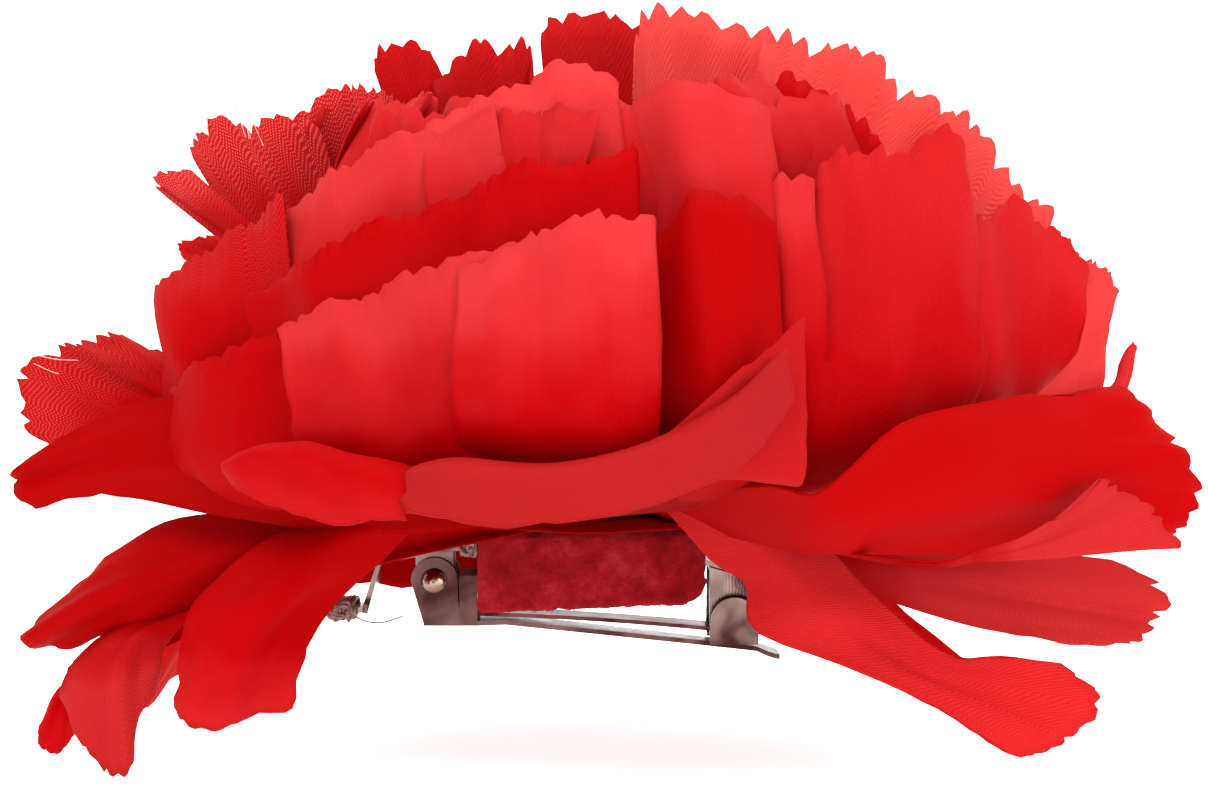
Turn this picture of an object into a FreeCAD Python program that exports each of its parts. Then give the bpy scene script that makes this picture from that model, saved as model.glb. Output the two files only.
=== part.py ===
"""Flower hair clip: a satin carnation on a sprung barrette, as separate sub-parts.

Frame: +X runs along the barrette from its hinge to its catch, +Y is away from the side that
shows the hinge rivet, +Z is up through the flower. The origin is the centre of the flower's
footprint, at the level of the tips of the drooping petals that the clip stands on.
"""
import FreeCAD, Part
import math
import os
import Sketcher

os.makedirs("parts", exist_ok=True)
doc = FreeCAD.newDocument("flower_hair_clip")

SIZES = {
    # gaps between solids, and how far a cutting outline runs past what it cuts
    "lie_gap": 0.05,
    "spare": 1.0,
    "far_spare": 20.0,
    # barrette: base plate
    "plate_thick": 0.6,
    "plate_half": 4.0,
    "arch_left_x": -24.8,
    "arch_left_z": 22.4,
    "arch_right_x": 17.6,
    "arch_right_z": 20.5,
    "arch_radius": 78.0,
    "tab_left_x": -31.0,
    "tab_step_x": -26.4,
    "tab_left_z": 16.8,
    "tab_right_x": 22.6,
    "tab_right_z": 19.2,
    "tab_half": 2.6,
    "tab_shoulder": 1.6,
    "sew_hole_r": 0.8,
    "sew_hole_inset": 2.0,
    # barrette: hinge
    "rivet_x": -18.9,
    "rivet_z": 20.5,
    "rivet_r": 0.7,
    "rivet_fit": 0.05,
    "rivet_head_r": 1.45,
    "rivet_head_t": 0.8,
    "lug_gap_half": 2.5,
    "lug_thick": 0.5,
    "lug_round": 2.1,
    "ear_thick": 0.5,
    "ear_round": 2.6,
    "ear_neck": 1.8,
    "ear_web": 1.5,
    "side_gap": 0.3,
    # barrette: clasp arm and tension bar
    "arm_thick": 0.55,
    "arm_heel": 1.2,
    "arm_flat_z": 15.5,
    "arm_flat_end_x": -11.0,
    "arm_catch_z": 12.4,
    "arm_catch_half": 1.8,
    "arm_mid_half": 2.9,
    "thumb_len": 2.6,
    "thumb_drop": 0.9,
    "thumb_half": 2.8,
    "thumb_shoulder": 1.2,
    "thumb_corner": 0.8,
    "post_x": -16.1,
    "post_wide": 2.0,
    "post_top_z": 21.1,
    "bar_thick": 0.45,
    "bar_start_x": -15.6,
    "bar_start_z": 16.5,
    "bar_catch_z": 14.25,
    "bar_half": 2.5,
    "bar_bow": 0.35,
    "bar_short": 0.2,
    # barrette: catch
    "catch_x": 11.7,
    "catch_len": 5.4,
    "catch_thick": 0.5,
    "catch_wall_y": 4.3,
    "catch_wall_z": 15.4,
    "wing_thick": 0.45,
    "wing_r": 2.6,
    "wing_high": 4.6,
    "wing_low_z": 14.4,
    "wing_lean": 1.3,
    "lip_reach_y": 2.2,
    "lip_thick": 0.4,
    "lip_gap": 0.25,
    # felt, glue and thread
    "felt_left_x": -14.0,
    "felt_right_x": 11.2,
    "felt_thick": 1.3,
    "felt_near_z": 17.4,
    "felt_far_z": 18.9,
    "felt_clear": 0.3,
    "felt_corner": 2.6,
    "glue_r": 9.0,
    "glue_thick": 1.0,
    "wrap_thick": 0.9,
    "wrap_gap": 0.02,
    "wrap_long": 3.0,
    "wrap_short": 1.6,
    "wrap_inset": 0.2,
    # flower
    "hub_r": 6.0,
    "peg_r": 1.8,
    "peg_clear": 0.3,
    "cap_r": 4.2,
    "cap_thick": 1.0,
    "petal_thick": 0.8,
    "layer_pitch": 1.2,
    "slit_root": 0.3,
    "slit_rim": 2.4,
    "slit_start": 14.0,
    "droop_left_x": 62.0,
    "droop_right_x": 56.0,
    "droop_half_y": 44.0,
    "droop_gap_y": 7.0,
    "droop_gap_rim_y": 11.0,
    "droop_flank": 0.62,
    "droop_hub": 12.0,
    "spread_r": 66.0,
    "spread_z": 34.5,
    "low_r": 60.0,
    "low_z": 53.5,
    "mid_r": 53.0,
    "mid_z": 66.5,
    "high_r": 42.0,
    "high_z": 75.5,
    "inner_r": 28.0,
    "inner_z": 80.5,
    "bud_r": 10.0,
    "bud_z": 82.5,
    "bud_hub": 4.0,
}

sheet = doc.addObject("Spreadsheet::Sheet", "dims")
for row, (alias, number) in enumerate(SIZES.items(), start=1):
    sheet.set("A%d" % row, alias)
    sheet.set("B%d" % row, str(number))
    sheet.setAlias("B%d" % row, alias)
doc.recompute()


def size(expression):
    """The value of an expression written with the sheet's aliases, as a plain number."""
    answer = sheet.evalExpression(bound(expression))
    return float(getattr(answer, "Value", answer))


def bound(expression):
    """The expression as other objects must write it, with each alias prefixed by its sheet."""
    text = ""
    word = ""
    for letter in expression + " ":
        if letter.isalnum() or letter == "_":
            word += letter
            continue
        text += "dims." + word if word in SIZES else word
        text += letter
        word = ""
    return text.strip()


NODES = []


def new_body(label):
    """A PartDesign body for one sub-part."""
    body = doc.addObject("PartDesign::Body", label)
    body.Label = label
    NODES.append(body)
    return body


def origin_plane(body, role):
    """One of the body's own origin planes, found by its role."""
    for feature in body.Origin.OriginFeatures:
        if feature.Role == role:
            return feature
    raise ValueError(role)


def new_sketch(body, role, name, offset="0"):
    """An empty sketch on one of the body's origin planes, raised by an offset."""
    sketch = body.newObject("Sketcher::SketchObject", name)
    sketch.AttachmentSupport = [(origin_plane(body, role), "")]
    sketch.MapMode = "FlatFace"
    if offset != "0":
        sketch.setExpression(".AttachmentOffset.Base.z", bound(offset))
    return sketch


def pin_corner(sketch, edge, end, corner):
    """Holds one end of an edge at a corner given by two expressions."""
    for kind, expression in zip(("DistanceX", "DistanceY"), corner):
        rule = Sketcher.Constraint(kind, -1, 1, edge, end, size(expression))
        number = sketch.addConstraint(rule)
        sketch.setExpression("Constraints[%d]" % number, bound(expression))


# Marks an arc that is half a circle on a level line between its two corners.
HALF_ROUND = "half round"


def round_edge(spot, after, radius, side):
    """The shorter arc from one spot to the next, with its centre left (1) or right (-1)."""
    chord = after - spot
    left = FreeCAD.Vector(-chord.y, chord.x, 0)
    left.normalize()
    rise = math.sqrt(max(radius ** 2 - (chord.Length / 2) ** 2, 0))
    centre = (spot + after) * 0.5 + left * (side * rise)
    angles = [math.atan2(end.y - centre.y, end.x - centre.x) for end in (spot, after)]
    if side < 0:
        angles.reverse()
    circle = Part.Circle(centre, FreeCAD.Vector(0, 0, 1), radius)
    return Part.ArcOfCircle(circle, angles[0], angles[1])


def add_outline(sketch, corners, bends=None):
    """A closed outline of straight edges through corners, each a pair of expressions.

    bends maps an edge's number to (radius expression, side): that edge is an arc, and side is
    above 0 where the arc's centre lies to the left of the way from its first corner on.
    """
    bends = bends or {}
    spots = [FreeCAD.Vector(size(x), size(y), 0) for x, y in corners]
    first = sketch.GeometryCount
    ends = []
    for number, spot in enumerate(spots):
        after = spots[(number + 1) % len(spots)]
        if number not in bends:
            sketch.addGeometry(Part.LineSegment(spot, after), False)
            ends.append((1, 2))
            continue
        radius_text, side = bends[number]
        half = (after - spot).Length / 2
        radius = half if radius_text == HALF_ROUND else size(radius_text)
        arc = round_edge(spot, after, radius, side)
        sketch.addGeometry(arc, False)
        ends.append((1, 2) if side > 0 else (2, 1))
    for number, corner in enumerate(corners):
        edge = first + number
        pin_corner(sketch, edge, ends[number][0], corner)
        follow = (number + 1) % len(corners)
        joint = Sketcher.Constraint("Coincident", edge, ends[number][1],
                                    first + follow, ends[follow][0])
        sketch.addConstraint(joint)
        if number not in bends:
            continue
        radius_text = bends[number][0]
        if radius_text == HALF_ROUND:
            level = Sketcher.Constraint("DistanceY", -1, 1, edge, 3, size(corner[1]))
            held = sketch.addConstraint(level)
            sketch.setExpression("Constraints[%d]" % held, bound(corner[1]))
            continue
        rule = Sketcher.Constraint("Radius", edge, size(radius_text))
        held = sketch.addConstraint(rule)
        sketch.setExpression("Constraints[%d]" % held, bound(radius_text))


def add_round(sketch, x, y, radius):
    """A full circle with its centre and radius bound to expressions."""
    spot = FreeCAD.Vector(size(x), size(y), 0)
    circle = Part.Circle(spot, FreeCAD.Vector(0, 0, 1), size(radius))
    edge = sketch.addGeometry(circle, False)
    pin_corner(sketch, edge, 3, (x, y))
    held = sketch.addConstraint(Sketcher.Constraint("Radius", edge, size(radius)))
    sketch.setExpression("Constraints[%d]" % held, bound(radius))


def add_pad(body, sketch, length, name, both_ways=True, reverse=False):
    """A pad of the sketch: centred on its plane, or to one side of it."""
    pad = body.newObject("PartDesign::Pad", name)
    pad.Profile = sketch
    if both_ways:
        pad.SideType = "Symmetric"
    pad.Reversed = reverse
    pad.setExpression("Length", bound(length))
    return pad


def add_cut(body, sketch, name, length=None, reverse=False):
    """A pocket of the sketch: through everything both ways, or to a depth on one side."""
    doc.recompute()
    before = body.Shape.Volume
    pocket = body.newObject("PartDesign::Pocket", name)
    pocket.Profile = sketch
    if length is None:
        pocket.SideType = "Symmetric"
        pocket.Type = "ThroughAll"
    else:
        pocket.Reversed = reverse
        pocket.setExpression("Length", bound(length))
    doc.recompute()
    if body.Shape.Volume >= before - 1e-6:
        raise ValueError(name + " cuts nothing")
    return pocket


# ---------------------------------------------------------------- barrette

ARCH_RUN = "(arch_right_x-arch_left_x)"
ARCH_RISE = "(arch_right_z-arch_left_z)"
ARCH_CHORD = "sqrt(" + ARCH_RUN + "^2+" + ARCH_RISE + "^2)"
ARCH_DEPTH = "sqrt(arch_radius^2-(" + ARCH_CHORD + "/2)^2)"
ARCH_X = "((arch_left_x+arch_right_x)/2+" + ARCH_DEPTH + "*" + ARCH_RISE + "/" + ARCH_CHORD + ")"
ARCH_Z = "((arch_left_z+arch_right_z)/2-" + ARCH_DEPTH + "*" + ARCH_RUN + "/" + ARCH_CHORD + ")"


def plate_under(x):
    """The level of the base plate's underside at x, as an expression on the arch's circle."""
    return "(" + ARCH_Z + "+sqrt(arch_radius^2-(" + x + "-" + ARCH_X + ")^2))"


def plate_over(x):
    """The level of the base plate's upper face at x, on the same centre."""
    return "(" + ARCH_Z + "+sqrt((arch_radius+plate_thick)^2-(" + x + "-" + ARCH_X + ")^2))"


def make_base_plate():
    """The arched spring plate, with a stepped sewing tab at each end and two hinge lugs."""
    body = new_body("base_plate")
    side = new_sketch(body, "XZ_Plane", "plate_side")
    corners = [
        ("tab_left_x", "tab_left_z"),
        ("tab_step_x", "tab_left_z"),
        ("arch_left_x", "arch_left_z"),
        ("arch_right_x", "arch_right_z"),
        ("tab_right_x", "tab_right_z"),
        ("tab_right_x", "tab_right_z+plate_thick"),
        ("arch_right_x", plate_over("arch_right_x")),
        ("arch_left_x-plate_thick/2", plate_over("(arch_left_x-plate_thick/2)")),
        ("tab_step_x-plate_thick", "tab_left_z+plate_thick"),
        ("tab_left_x", "tab_left_z+plate_thick"),
    ]
    add_outline(side, corners, {2: ("arch_radius", -1), 6: ("arch_radius+plate_thick", 1)})
    add_pad(body, side, "2*plate_half", "plate_strip")

    ends = new_sketch(body, "XY_Plane", "tab_waste")
    for sign in ("", "-"):
        left = [
            ("tab_left_x-spare", sign + "tab_half"),
            ("tab_step_x-plate_thick", sign + "tab_half"),
            ("arch_left_x", sign + "(plate_half+spare)"),
            ("tab_left_x-spare", sign + "(plate_half+spare)"),
        ]
        right = [
            ("tab_right_x+spare", sign + "tab_half"),
            ("arch_right_x+tab_shoulder", sign + "tab_half"),
            ("arch_right_x", sign + "(plate_half+spare)"),
            ("tab_right_x+spare", sign + "(plate_half+spare)"),
        ]
        add_outline(ends, left)
        add_outline(ends, right)
    add_cut(body, ends, "tab_trim")

    holes = new_sketch(body, "XY_Plane", "sewing_holes")
    add_round(holes, "tab_left_x+sew_hole_inset", "0", "sew_hole_r")
    add_round(holes, "tab_right_x-sew_hole_inset", "0", "sew_hole_r")
    add_cut(body, holes, "sewing_hole_cut")

    for name, sign in (("near", "-"), ("far", "")):
        lug = new_sketch(body, "XZ_Plane", "lug_" + name, LUG_OFFSET[name])
        outline = [
            ("rivet_x-lug_round", "rivet_z"),
            ("rivet_x+lug_round", "rivet_z"),
            ("rivet_x+lug_round", plate_under("(rivet_x+lug_round)") + "+plate_thick/2"),
            ("rivet_x-lug_round", plate_under("(rivet_x-lug_round)") + "+plate_thick/2"),
        ]
        add_outline(lug, outline, {0: (HALF_ROUND, 1)})
        add_pad(body, lug, "lug_thick", "lug_pad_" + name, both_ways=False)

    bore = new_sketch(body, "XZ_Plane", "rivet_bore")
    add_round(bore, "rivet_x", "rivet_z", "rivet_r+rivet_fit")
    add_cut(body, bore, "rivet_bore_cut")
    return body


# A sketch on the XZ plane faces -Y, so a positive offset moves it towards the near side.
LUG_OFFSET = {"near": "lug_gap_half", "far": "-(lug_gap_half+lug_thick)"}
EAR_INNER = "(lug_gap_half+lug_thick+side_gap)"
EAR_OFFSET = {"near": EAR_INNER, "far": "-(" + EAR_INNER + "+ear_thick)"}


def make_rivet():
    """The hinge rivet: a shank through lugs and ears, with a domed head at each end."""
    body = new_body("hinge_rivet")
    half = EAR_INNER + "+ear_thick+side_gap/2"
    profile = new_sketch(body, "XY_Plane", "rivet_profile", "rivet_z")
    corners = [
        ("rivet_x", "-(" + half + "+rivet_head_t)"),
        ("rivet_x+rivet_head_r", "-(" + half + ")"),
        ("rivet_x+rivet_r", "-(" + half + ")"),
        ("rivet_x+rivet_r", half),
        ("rivet_x+rivet_head_r", half),
        ("rivet_x", half + "+rivet_head_t"),
    ]
    dome = "(rivet_head_r^2+rivet_head_t^2)/(2*rivet_head_t)"
    add_outline(profile, corners, {0: (dome, 1), 4: (dome, 1)})
    turn = body.newObject("PartDesign::Revolution", "rivet_turned")
    turn.Profile = profile
    turn.ReferenceAxis = (profile, ["Edge6"])
    turn.Angle = 360
    return body


ARM_END_X = "(catch_x+catch_len)"


def make_clasp_arm():
    """The clasp arm: a tapering strip with two hinge ears, two posts and a thumb tip."""
    body = new_body("clasp_arm")
    side = new_sketch(body, "XZ_Plane", "arm_side")
    corners = [
        ("rivet_x-arm_heel", "arm_flat_z"),
        ("arm_flat_end_x", "arm_flat_z"),
        (ARM_END_X, "arm_catch_z"),
        (ARM_END_X + "+thumb_len", "arm_catch_z-thumb_drop"),
        (ARM_END_X + "+thumb_len", "arm_catch_z-thumb_drop+arm_thick"),
        (ARM_END_X, "arm_catch_z+arm_thick"),
        ("arm_flat_end_x", "arm_flat_z+arm_thick"),
        ("rivet_x-arm_heel", "arm_flat_z+arm_thick"),
    ]
    add_outline(side, corners)
    width = "2*(" + EAR_INNER + "+ear_thick)"
    add_pad(body, side, width, "arm_strip")

    waste = new_sketch(body, "XY_Plane", "arm_taper")
    for sign in ("", "-"):
        corners = [
            ("post_x+post_wide", sign + "(plate_half+spare)"),
            ("post_x+post_wide", sign + "(" + EAR_INNER + "+ear_thick)"),
            ("arm_flat_end_x", sign + "arm_mid_half"),
            ("catch_x-spare", sign + "arm_catch_half"),
            (ARM_END_X, sign + "arm_catch_half"),
            (ARM_END_X + "+thumb_shoulder", sign + "thumb_half"),
            (ARM_END_X + "+thumb_len-thumb_corner", sign + "thumb_half"),
            (ARM_END_X + "+thumb_len", sign + "(thumb_half-thumb_corner)"),
            (ARM_END_X + "+thumb_len+spare", sign + "(thumb_half-thumb_corner)"),
            (ARM_END_X + "+thumb_len+spare", sign + "(plate_half+spare)"),
        ]
        add_outline(waste, corners)
    add_cut(body, waste, "arm_taper_cut")

    for name in ("near", "far"):
        ear = new_sketch(body, "XZ_Plane", "ear_" + name, EAR_OFFSET[name])
        outline = [
            ("rivet_x-arm_heel", "arm_flat_z+arm_thick/2"),
            ("post_x+post_wide", "arm_flat_z+arm_thick/2"),
            ("post_x+post_wide", "post_top_z"),
            ("post_x", "post_top_z"),
            ("post_x", "arm_flat_z+ear_web"),
            ("rivet_x+ear_round", "rivet_z-ear_neck"),
            ("rivet_x+ear_round", "rivet_z"),
            ("rivet_x-ear_round", "rivet_z"),
        ]
        add_outline(ear, outline, {6: (HALF_ROUND, 1)})
        add_pad(body, ear, "ear_thick", "ear_pad_" + name, both_ways=False)

    bore = new_sketch(body, "XZ_Plane", "ear_bore")
    add_round(bore, "rivet_x", "rivet_z", "rivet_r+rivet_fit")
    add_cut(body, bore, "ear_bore_cut")
    return body


def make_tension_bar():
    """The bowed leaf that presses on the hair, held at the hinge end and caught at the other."""
    body = new_body("tension_bar")
    side = new_sketch(body, "XZ_Plane", "bar_side")
    end_x = "(" + ARM_END_X + "-bar_short)"
    corners = [
        ("bar_start_x", "bar_start_z"),
        (end_x, "bar_catch_z"),
        (end_x, "bar_catch_z+bar_thick"),
        ("bar_start_x", "bar_start_z+bar_thick"),
    ]
    run = "((" + end_x + "-bar_start_x)/2)"
    bow = "((" + run + "^2+bar_bow^2)/(2*bar_bow))"
    add_outline(side, corners, {0: (bow, -1), 2: (bow + "+bar_thick", 1)})
    add_pad(body, side, "2*bar_half", "bar_leaf")
    return body


def make_catch_frame():
    """The catch: a web that follows the plate's underside, with a wall down each side."""
    body = new_body("catch_frame")
    left_top = plate_under("catch_x") + "-lie_gap"
    right_top = plate_under(ARM_END_X) + "-lie_gap"
    web = new_sketch(body, "XZ_Plane", "catch_web")
    corners = [
        ("catch_x", left_top + "-catch_thick"),
        (ARM_END_X, right_top + "-catch_thick"),
        (ARM_END_X, right_top),
        ("catch_x", left_top),
    ]
    add_outline(web, corners)
    add_pad(body, web, "2*(catch_wall_y+catch_thick)", "catch_web_pad")
    for name, offset in (("near", "catch_wall_y"), ("far", "-(catch_wall_y+catch_thick)")):
        wall = new_sketch(body, "XZ_Plane", "catch_wall_" + name, offset)
        corners = [
            ("catch_x", "catch_wall_z"),
            (ARM_END_X, "catch_wall_z"),
            (ARM_END_X, right_top),
            ("catch_x", left_top),
        ]
        add_outline(wall, corners)
        add_pad(body, wall, "catch_thick", "catch_wall_pad_" + name, both_ways=False)
    return body


def make_catch_wing(name, sign):
    """A finger wing: a domed plate folded up from a lip that holds the arm's end from below."""
    body = new_body("catch_wing_" + name)
    fold_y = "(catch_wall_y+catch_thick+side_gap)"
    section = new_sketch(body, "YZ_Plane", "wing_section", "catch_x")
    lip_top = "bar_catch_z-lip_gap"
    corners = [
        (sign + "lip_reach_y", lip_top),
        (sign + "(" + fold_y + ")", lip_top),
        (sign + "(" + fold_y + "+wing_lean)", "wing_low_z+wing_high"),
        (sign + "(" + fold_y + "+wing_lean+wing_thick)", "wing_low_z+wing_high"),
        (sign + "(" + fold_y + "+wing_thick)", lip_top + "-lip_thick"),
        (sign + "lip_reach_y", lip_top + "-lip_thick"),
    ]
    add_outline(section, corners)
    add_pad(body, section, "catch_len", "wing_strip", both_ways=False)
    # the finger tab's free edge is round when seen from the side
    face = new_sketch(body, "XZ_Plane", "wing_round")
    mid = "(catch_x+catch_len/2)"
    top = "wing_low_z+wing_high"
    corners = [
        ("catch_x-spare", top + "-wing_r"),
        (mid + "-wing_r", top + "-wing_r"),
        (mid + "+wing_r", top + "-wing_r"),
        (ARM_END_X + "+spare", top + "-wing_r"),
        (ARM_END_X + "+spare", top + "+spare"),
        ("catch_x-spare", top + "+spare"),
    ]
    add_outline(face, corners, {1: (HALF_ROUND, -1)})
    add_cut(body, face, "wing_round_cut")
    return body


# ---------------------------------------------------------------- felt, glue and thread

# A wrap's rounding, as a share of the thread's thickness.
WRAP_ROUND = 0.8

# The arch's highest point is straight above its circle's centre.
FELT_UNDER = "(" + ARCH_Z + "+arch_radius+plate_thick+lie_gap)"
FELT_TOP = "(" + FELT_UNDER + "+felt_thick)"
LAYER_BASE = "(" + FELT_TOP + "+glue_thick)"


def make_felt_pad():
    """The felt over the plate, between hinge and catch, with a flap down each side."""
    body = new_body("felt_pad")
    front = new_sketch(body, "YZ_Plane", "felt_front")
    inner = "(plate_half+felt_clear)"
    outer = "(plate_half+felt_clear+felt_thick)"
    corners = [
        ("-" + outer, "felt_near_z"),
        ("-" + inner, "felt_near_z"),
        ("-" + inner, FELT_UNDER),
        (inner, FELT_UNDER),
        (inner, "felt_far_z"),
        (outer, "felt_far_z"),
        (outer, FELT_TOP),
        ("-" + outer, FELT_TOP),
    ]
    add_outline(front, corners)
    middle = "(felt_left_x+felt_right_x)/2"
    front.setExpression(".AttachmentOffset.Base.z", bound(middle))
    add_pad(body, front, "felt_right_x-felt_left_x", "felt_saddle")
    waste = new_sketch(body, "XZ_Plane", "felt_corners")
    for edge_x, way in (("felt_left_x", "+"), ("felt_right_x", "-")):
        back = "-" if way == "+" else "+"
        corners = [
            (edge_x + back + "spare", "felt_near_z-spare"),
            (edge_x + way + "felt_corner", "felt_near_z-spare"),
            (edge_x + way + "felt_corner", "felt_near_z"),
            (edge_x, "felt_near_z+felt_corner"),
            (edge_x + back + "spare", "felt_near_z+felt_corner"),
        ]
        add_outline(waste, corners, {2: ("felt_corner", 1 if way == "-" else -1)})
    add_cut(body, waste, "felt_corner_cut")
    return body


def place(node, x, y, z):
    """Binds a primitive's position to expressions."""
    for axis, expression in zip("xyz", (x, y, z)):
        node.setExpression(".Placement.Base." + axis, bound(expression))


def make_disc(label, radius, height, low):
    """A plain disc about the flower's axis."""
    disc = doc.addObject("Part::Cylinder", label)
    disc.Label = label
    disc.setExpression("Radius", bound(radius))
    disc.setExpression("Height", bound(height))
    place(disc, "0", "0", low)
    NODES.append(disc)
    return disc


def tab_level(x, inner_z, outer_z):
    """The level at x of a face of the right tab, which runs from inner_z to outer_z."""
    share = "((" + x + "-arch_right_x)/(tab_right_x-arch_right_x))"
    return "(" + inner_z + "+(" + outer_z + "-" + inner_z + ")*" + share + ")"


def make_wrap(label, x, length, half, low_z, high_z):
    """Sewing thread wound round a strip: a rounded band that clears the metal inside it.

    low_z is the strip's lowest level inside the band, and high_z is its highest.
    """
    parts = {}
    for part, grow, spare in (("outer", "wrap_thick", "0"), ("inner", "wrap_gap", "spare")):
        box = doc.addObject("Part::Box", label + "_" + part)
        box.setExpression("Length", bound(length + "+2*" + spare))
        box.setExpression("Width", bound("2*(" + half + "+" + grow + ")"))
        box.setExpression("Height", bound(high_z + "-" + low_z + "+2*" + grow))
        place(box, x + "-" + spare, "-(" + half + "+" + grow + ")", low_z + "-" + grow)
        parts[part] = box
    rounded = doc.addObject("Part::Fillet", label + "_rounded")
    rounded.Base = parts["outer"]
    doc.recompute()
    radius = WRAP_ROUND * size("wrap_thick")
    long_edges = [
        (number, radius, radius)
        for number, edge in enumerate(parts["outer"].Shape.Edges, start=1)
        if abs(edge.tangentAt(edge.FirstParameter).x) > 0.5
    ]
    rounded.Edges = long_edges
    band = doc.addObject("Part::Cut", label)
    band.Label = label
    band.Base = rounded
    band.Tool = parts["inner"]
    NODES.append(band)
    return band


# ---------------------------------------------------------------- flower


def layer_level(number):
    """The underside of a petal layer's flat centre, counted up from the lowest layer."""
    return "(" + LAYER_BASE + "+" + str(number) + "*layer_pitch)"


def make_droop_layer():
    """The lowest layer: two petals each side that droop to the surface the clip stands on."""
    body = new_body("petal_layer_1_drooping")
    side = new_sketch(body, "XZ_Plane", "droop_side")
    level = layer_level(0)
    bend = {}
    for way, reach in (("left", "droop_left_x"), ("right", "droop_right_x")):
        bend[way] = "(((" + reach + "-droop_hub)^2+" + level + "^2)/(2*" + level + "))"
    tip = {}
    for way, reach in (("left", "droop_left_x"), ("right", "droop_right_x")):
        stretch = "(" + bend[way] + "+petal_thick)/" + bend[way]
        out = "(droop_hub+(" + reach + "-droop_hub)*" + stretch + ")"
        up = "(" + level + "-" + bend[way] + "+(" + bend[way] + "-" + level + ")*" + stretch + ")"
        tip[way] = (out, up)
    corners = [
        ("-droop_left_x", "0"),
        ("-droop_hub", level),
        ("droop_hub", level),
        ("droop_right_x", "0"),
        tip["right"],
        ("droop_hub", level + "+petal_thick"),
        ("-droop_hub", level + "+petal_thick"),
        ("-" + tip["left"][0], tip["left"][1]),
    ]
    bends = {
        0: (bend["left"], -1),
        2: (bend["right"], -1),
        4: (bend["right"] + "+petal_thick", 1),
        6: (bend["left"] + "+petal_thick", 1),
    }
    add_outline(side, corners, bends)
    add_pad(body, side, "2*droop_half_y", "droop_sheet")
    waste = new_sketch(body, "XY_Plane", "droop_waste")
    for way, reach in (("-", "droop_left_x"), ("", "droop_right_x")):
        slot = [
            (way + "droop_hub", "-droop_gap_y"),
            (way + "(" + reach + "+far_spare)", "-droop_gap_rim_y"),
            (way + "(" + reach + "+far_spare)", "droop_gap_rim_y"),
            (way + "droop_hub", "droop_gap_y"),
        ]
        add_outline(waste, slot)
    for way in ("-", ""):
        flank = [
            ("-droop_left_x*droop_flank", way + "(droop_half_y+spare)"),
            ("-droop_hub", way + "droop_hub"),
            ("droop_hub", way + "droop_hub"),
            ("droop_right_x*droop_flank", way + "(droop_half_y+spare)"),
        ]
        add_outline(waste, flank)
    add_round(waste, "0", "0", "peg_r+peg_clear")
    add_cut(body, waste, "droop_waste_cut")
    return body


def make_cup_layer(label, number, rim_r, rim_z, hub, petals):
    """A die-cut layer: a flat centre that bends up in one arc to its rim, slit into petals."""
    body = new_body(label)
    side = new_sketch(body, "XZ_Plane", "cup_side")
    low = layer_level(number)
    rise = "(" + rim_z + "-" + low + ")"
    reach = "(" + rim_r + "-" + hub + ")"
    bend = "((" + reach + "^2+" + rise + "^2)/(2*" + rise + "))"
    shrink = "((" + bend + "-petal_thick)/" + bend + ")"
    corners = [
        ("peg_r+peg_clear", low),
        (hub, low),
        (rim_r, rim_z),
        (hub + "+" + reach + "*" + shrink, low + "+" + bend + "+(" + rise + "-" + bend + ")*" + shrink),
        (hub, low + "+petal_thick"),
        ("peg_r+peg_clear", low + "+petal_thick"),
    ]
    add_outline(side, corners, {1: (bend, 1), 3: (bend + "-petal_thick", -1)})
    cup = body.newObject("PartDesign::Revolution", "cup")
    cup.Profile = side
    cup.ReferenceAxis = (side, ["V_Axis"])
    cup.Angle = 360
    slit = new_sketch(body, "XY_Plane", "petal_slit")
    outline = [
        ("slit_start", "-slit_root"),
        (rim_r + "+far_spare", "-slit_rim"),
        (rim_r + "+far_spare", "slit_rim"),
        ("slit_start", "slit_root"),
    ]
    add_outline(slit, outline)
    cut = add_cut(body, slit, "petal_slit_cut")
    ring = body.newObject("PartDesign::PolarPattern", "petal_slits")
    ring.Originals = [cut]
    ring.Axis = (slit, ["N_Axis"])
    ring.Angle = 360
    ring.Occurrences = petals
    body.Tip = ring
    return body


def make_flower():
    """The peg with its cap, the cup layers around it and the bud in the middle."""
    make_droop_layer()
    make_cup_layer("petal_layer_2_spread", 1, "spread_r", "spread_z", "hub_r", 6)
    make_cup_layer("petal_layer_3_low", 2, "low_r", "low_z", "hub_r", 6)
    make_cup_layer("petal_layer_4_middle", 3, "mid_r", "mid_z", "hub_r", 6)
    make_cup_layer("petal_layer_5_high", 4, "high_r", "high_z", "hub_r", 5)
    make_cup_layer("petal_layer_6_inner", 5, "inner_r", "inner_z", "hub_r", 4)
    make_cup_layer("petal_layer_7_bud", 6, "bud_r", "bud_z", "bud_hub", 3)
    top = "(" + layer_level(6) + "+petal_thick)"
    make_disc("flower_peg", "peg_r", top + "-" + LAYER_BASE, LAYER_BASE)
    make_disc("peg_cap", "cap_r", "cap_thick", top)


def make_barrette():
    """All the metal pieces."""
    make_base_plate()
    make_rivet()
    make_clasp_arm()
    make_tension_bar()
    make_catch_frame()
    make_catch_wing("near", "-")
    make_catch_wing("far", "")


def make_soft_trim():
    """The felt, the hot glue on it and the sewing thread round the plate."""
    make_felt_pad()
    make_disc("glue_pad", "glue_r", "glue_thick", FELT_TOP)
    make_wrap("thread_wrap_left", "(tab_left_x+wrap_inset)", "wrap_long", "tab_half",
              "tab_left_z", "(tab_left_z+plate_thick)")
    hinge_x = "(felt_left_x-wrap_short-side_gap)"
    make_wrap("thread_wrap_hinge", hinge_x, "wrap_short", "plate_half",
              plate_under(hinge_x), plate_over("(" + hinge_x + "+wrap_short)"))
    right_x = "(tab_right_x-wrap_long-wrap_inset)"
    make_wrap("thread_wrap_right", right_x, "wrap_long", "tab_half",
              tab_level("(tab_right_x-wrap_inset)", "arch_right_z", "tab_right_z"),
              tab_level(right_x, plate_over("arch_right_x"), "(tab_right_z+plate_thick)"))


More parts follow.
